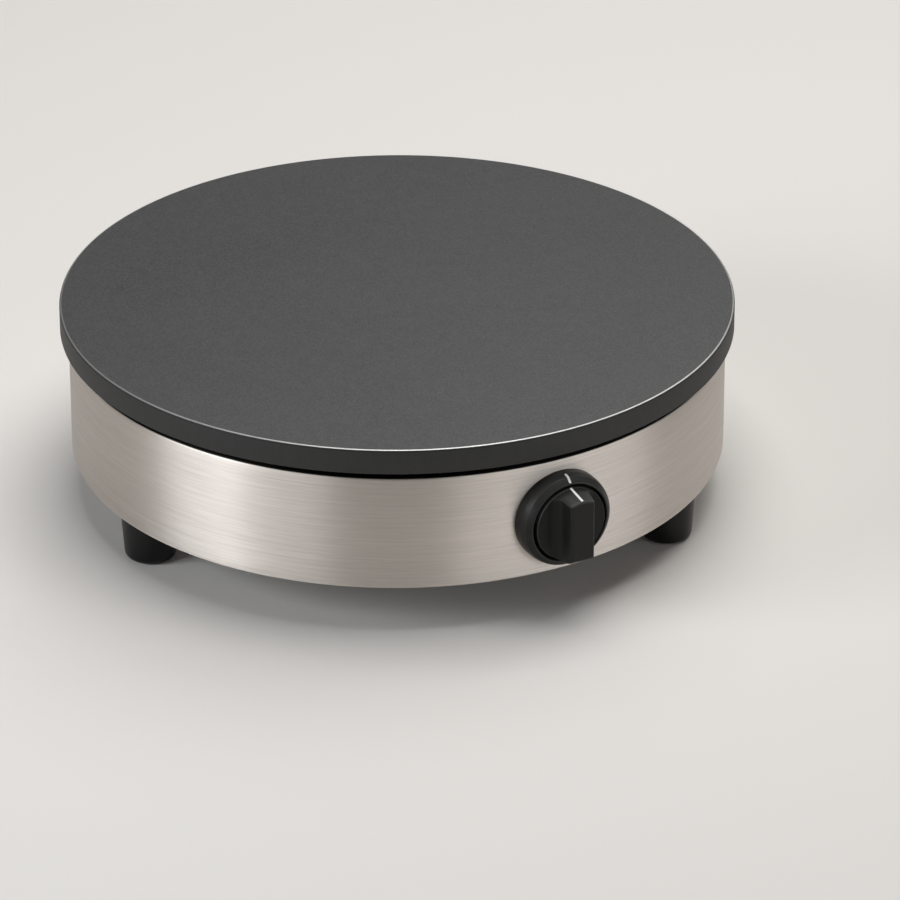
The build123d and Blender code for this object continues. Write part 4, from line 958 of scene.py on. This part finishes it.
def shapeBar():                            # a column of rings, each then drawn to the bar's outline
    stations = barStations()
    across, along = knob["across"], knob["along"]
    bar = drawOutline([(1.0, out) for out, drawnIn in stations])
    spinOpen(bar, 2 * (across + along))
    corners = set()
    for vertex in bar.verts:
        out = vertex.co.z
        drawnIn = min(stations, key=lambda station: abs(station[0] - out))[1]
        turn = round(math.atan2(vertex.co.y, vertex.co.x) / (math.pi / (across + along)))
        turn %= 2 * (across + along)
        radius = knobRadius(out) - drawnIn + (knob["barProud"] if out < knob["floor"] else 0)
        half = barHalf(out) - drawnIn
        lowEnd = barFoot(out) - drawnIn
        high = math.sqrt(radius ** 2 - half ** 2)
        low = min(high, lowEnd)
        if turn <= across:                 # over the top, right to left
            x = half * (1 - 2 * turn / across)
            place = (x, math.sqrt(radius ** 2 - x ** 2))
        elif turn <= across + along:       # down the left side
            place = (-half, high - (high + low) * (turn - across) / along)
        elif turn <= 2 * across + along:   # along the lower end
            x = half * (2 * (turn - across - along) / across - 1)
            place = (x, -min(math.sqrt(radius ** 2 - x ** 2), lowEnd))
        else:                              # up the right side
            place = (half, -low + (high + low) * (turn - 2 * across - along) / along)
        vertex.co.xy = place
        if turn in (0, across, across + along, 2 * across + along):
            corners.add(vertex)
    rims = []                              # the bar's four corners, up to where its front rounds over
    for edge in bar.edges:
        low, high = sorted(vertex.co.z for vertex in edge.verts)
        if corners.issuperset(edge.verts) and low + hair < high < knob["front"] - knob["edge"] + hair:
            rims.append(edge)
    bmesh.ops.bevel(
        bar, geom=rims, offset=knob["rimEdge"], segments=knob["rimSteps"], profile=0.5,
        affect="EDGES", material=-1,
    )
    ends = bmesh.ops.holes_fill(bar, edges=[edge for edge in bar.edges if edge.is_boundary])
    bmesh.ops.inset_region(bar, faces=ends["faces"], thickness=knob["endInset"])
    bmesh.ops.recalc_face_normals(bar, faces=bar.faces[:])
    return bar


addBezel()
addKnob()
print("bezel and knob made")


# Feet

foot = {
    "topRadius": 17.0 * mm,
    "bottomRadius": 15.0 * mm,
    "height": 28.4 * mm,
    "pitch": 175.6 * mm,
    "edge": 4.5 * mm,
    "topEdge": 0.7 * mm,
    "padRadius": 8.5 * mm,
    "padDeep": 0.8 * mm,
    "padEdge": 0.2 * mm,
    "ring": 1.2 * mm,
    "ringDeep": 0.35 * mm,
    "socket": 4.1 * mm,
    "socketDeep": 20.0 * mm,
    "arcSteps": 8,
    "steps": 96,
}
feet = {"front_left": -60, "front_right": 60, "rear": 180}   # degrees round from the front


def addFoot(name, angle):
    pad, ring = foot["padRadius"], foot["ring"]
    top = foot["height"]
    work = drawOutline([
        (0, foot["padDeep"]),
        (pad, foot["padDeep"]),
        (pad, 0),
        (pad + ring, 0),
        (pad + 1.5 * ring, foot["ringDeep"]),
        (pad + 2 * ring, 0),
        (foot["bottomRadius"], 0),
        (foot["topRadius"], top),
        (foot["socket"], top),
        (foot["socket"], top - foot["socketDeep"]),
        (0, top - foot["socketDeep"]),
    ], {2: foot["padEdge"], 6: foot["edge"], 7: foot["topEdge"]}, foot["arcSteps"])
    spinRound(work, foot["steps"])
    moveTo(work, Matrix.Translation(spot(angle, foot["pitch"], 0)))
    addPiece("dressed_foot_" + name, work, name + "_foot", "foot_plastic", ["foot_" + name])


for name, angle in feet.items():
    addFoot(name, angle)
print("feet made")


# Cable gland at the rear

gland = {
    "washer": 1.6 * mm,
    "flats": 22.0 * mm,
    "flange": 4.0 * mm,
    "hexRound": 0.5 * mm,
    "hexSteps": 3,
    "bore": 7.1 * mm,
    "barrel": 9.95 * mm,
    "barrelSunk": 0.5 * mm,                # how far the barrel goes into the flange
    "inside": 12.0 * mm,
    "thread": 1.5 * mm,
    "threadStart": 0.6 * mm,
    "threadDeep": 0.6 * mm,
    "domeRadius": 10.6 * mm,
    "dome": 6.4 * mm,
    "domeEdge": 0.3 * mm,
    "domeRound": 3.0 * mm,
    "ribs": 24,
    "ribSteps": 8,
    "ribDeep": 0.35 * mm,
    "ribReach": 1.8 * mm,                  # how far in from the dome's side the ribs run out
    "seal": 7.0 * mm,
    "sealDrop": 0.2 * mm,
    "sealEdge": 0.6 * mm,
    "cordHole": 4.5 * mm,
    "cordFlare": 1.2 * mm,
    "steps": 64,
}


def addGland():
    seat = gland["washer"]
    hexEnd = seat + gland["flange"]
    domeEnd = hexEnd + gland["dome"]
    # flange with six flats, and the threaded barrel that goes in through the drum
    corner = gland["flats"] / 2 / math.cos(math.pi / 6)
    body = drawOutline([
        (gland["bore"], hexEnd), (corner, hexEnd), (corner, seat), (gland["bore"], seat),
    ], closed=True)
    spinRound(body, 6)
    rims = [
        edge for edge in body.edges
        if min(vertex.co.xy.length for vertex in edge.verts) > gland["flats"] / 2 + hair
    ]
    bmesh.ops.bevel(
        body, geom=rims, offset=gland["hexRound"], segments=gland["hexSteps"], profile=0.5,
        affect="EDGES", material=-1,
    )
    root = seat + gland["barrelSunk"]
    barrel = [(gland["bore"], root), (gland["barrel"], root)]
    depth = -gland["threadStart"]
    while depth > gland["thread"] - gland["inside"]:
        barrel += [
            (gland["barrel"], depth),
            (gland["barrel"] - gland["threadDeep"], depth - gland["thread"] / 2),
        ]
        depth -= gland["thread"]
    barrel += [(gland["barrel"], -gland["inside"]), (gland["bore"], -gland["inside"])]
    tube = drawOutline(barrel, closed=True)
    spinRound(tube, gland["steps"])
    joinInto(body, tube)
    moveTo(body, glandPlace)
    addPiece("dressed_gland", body, "chassis", "gland_plastic", ["cable_gland"])
    # dome nut, ribbed for the fingers
    dome = drawOutline([
        (gland["bore"], hexEnd), (gland["domeRadius"], hexEnd),
        (gland["domeRadius"], domeEnd), (gland["bore"], domeEnd),
    ], {1: gland["domeEdge"], 2: gland["domeRound"]}, closed=True)
    spinRound(dome, gland["ribs"] * gland["ribSteps"])
    for vertex in dome.verts:
        share = 1 - (gland["domeRadius"] - vertex.co.xy.length) / gland["ribReach"]
        if share > 0:
            wave = 0.5 - 0.5 * math.cos(gland["ribs"] * math.atan2(vertex.co.y, vertex.co.x))
            vertex.co.xy *= 1 - gland["ribDeep"] * share * wave / vertex.co.xy.length
    moveTo(dome, glandPlace)
    addPiece("dressed_gland_dome", dome, "chassis", "gland_plastic", ["gland_dome"])
    # rubber seal, its mouth flared for a cord
    sealEnd = domeEnd - gland["sealDrop"]
    seal = drawOutline([
        (gland["cordHole"], seat), (gland["seal"], seat),
        (gland["seal"], sealEnd), (gland["cordHole"], sealEnd),
    ], {2: gland["sealEdge"], 3: gland["cordFlare"]}, closed=True)
    spinRound(seal, gland["steps"])
    moveTo(seal, glandPlace)
    addPiece("dressed_gland_seal", seal, "chassis", "seal_rubber", ["gland_seal"])


addGland()
print("gland made")


# Screws of the base plate

baseScrew = {
    "pitch": 187.25 * mm,
    "spread": 25,                          # degrees to each side of a foot
    "head": 3.6 * mm,
    "headHigh": 2.2 * mm,
    "headRound": 1.2 * mm,
    "edge": 0.15 * mm,
    "shank": 1.9 * mm,
    "length": 6.0 * mm,
    "tip": 0.5 * mm,
    "socket": 1.55 * mm,
    "socketDeep": 1.2 * mm,
    "socketFlats": 0.9,                    # of the round socket's width
    "socketReach": 1.1,                    # points this far out, in the same measure, are the socket's
    "steps": 36,
}


def addBaseScrews():
    whole = bmesh.new()
    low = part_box("base_screws")[0].z
    seat = low + baseScrew["headHigh"]
    reach = baseScrew["socketReach"] * baseScrew["socket"]
    for middle in feet.values():
        for spread in (-baseScrew["spread"], baseScrew["spread"]):
            screw = drawOutline([
                (0, low + baseScrew["socketDeep"]),
                (baseScrew["socket"], low + baseScrew["socketDeep"]),
                (baseScrew["socket"], low),
                (baseScrew["head"], low),
                (baseScrew["head"], seat),
                (baseScrew["shank"], seat),
                (baseScrew["shank"], seat + baseScrew["length"]),
                (0, seat + baseScrew["length"]),
            ], {2: baseScrew["edge"], 3: baseScrew["headRound"], 4: baseScrew["edge"], 6: baseScrew["tip"]})
            spinRound(screw, baseScrew["steps"])
            for vertex in screw.verts:     # the round socket becomes a six-sided one
                if hair < vertex.co.xy.length < reach and vertex.co.z < seat:
                    lean = math.atan2(vertex.co.y, vertex.co.x) % (math.pi / 3) - math.pi / 6
                    vertex.co.xy *= baseScrew["socketFlats"] / math.cos(lean)
            moveTo(screw, Matrix.Translation(spot(middle + spread, baseScrew["pitch"], 0)))
            joinInto(whole, screw)
    addPiece("dressed_base_screws", whole, "chassis", "zinc_steel", ["base_screws"])


addBaseScrews()
print("base screws made")
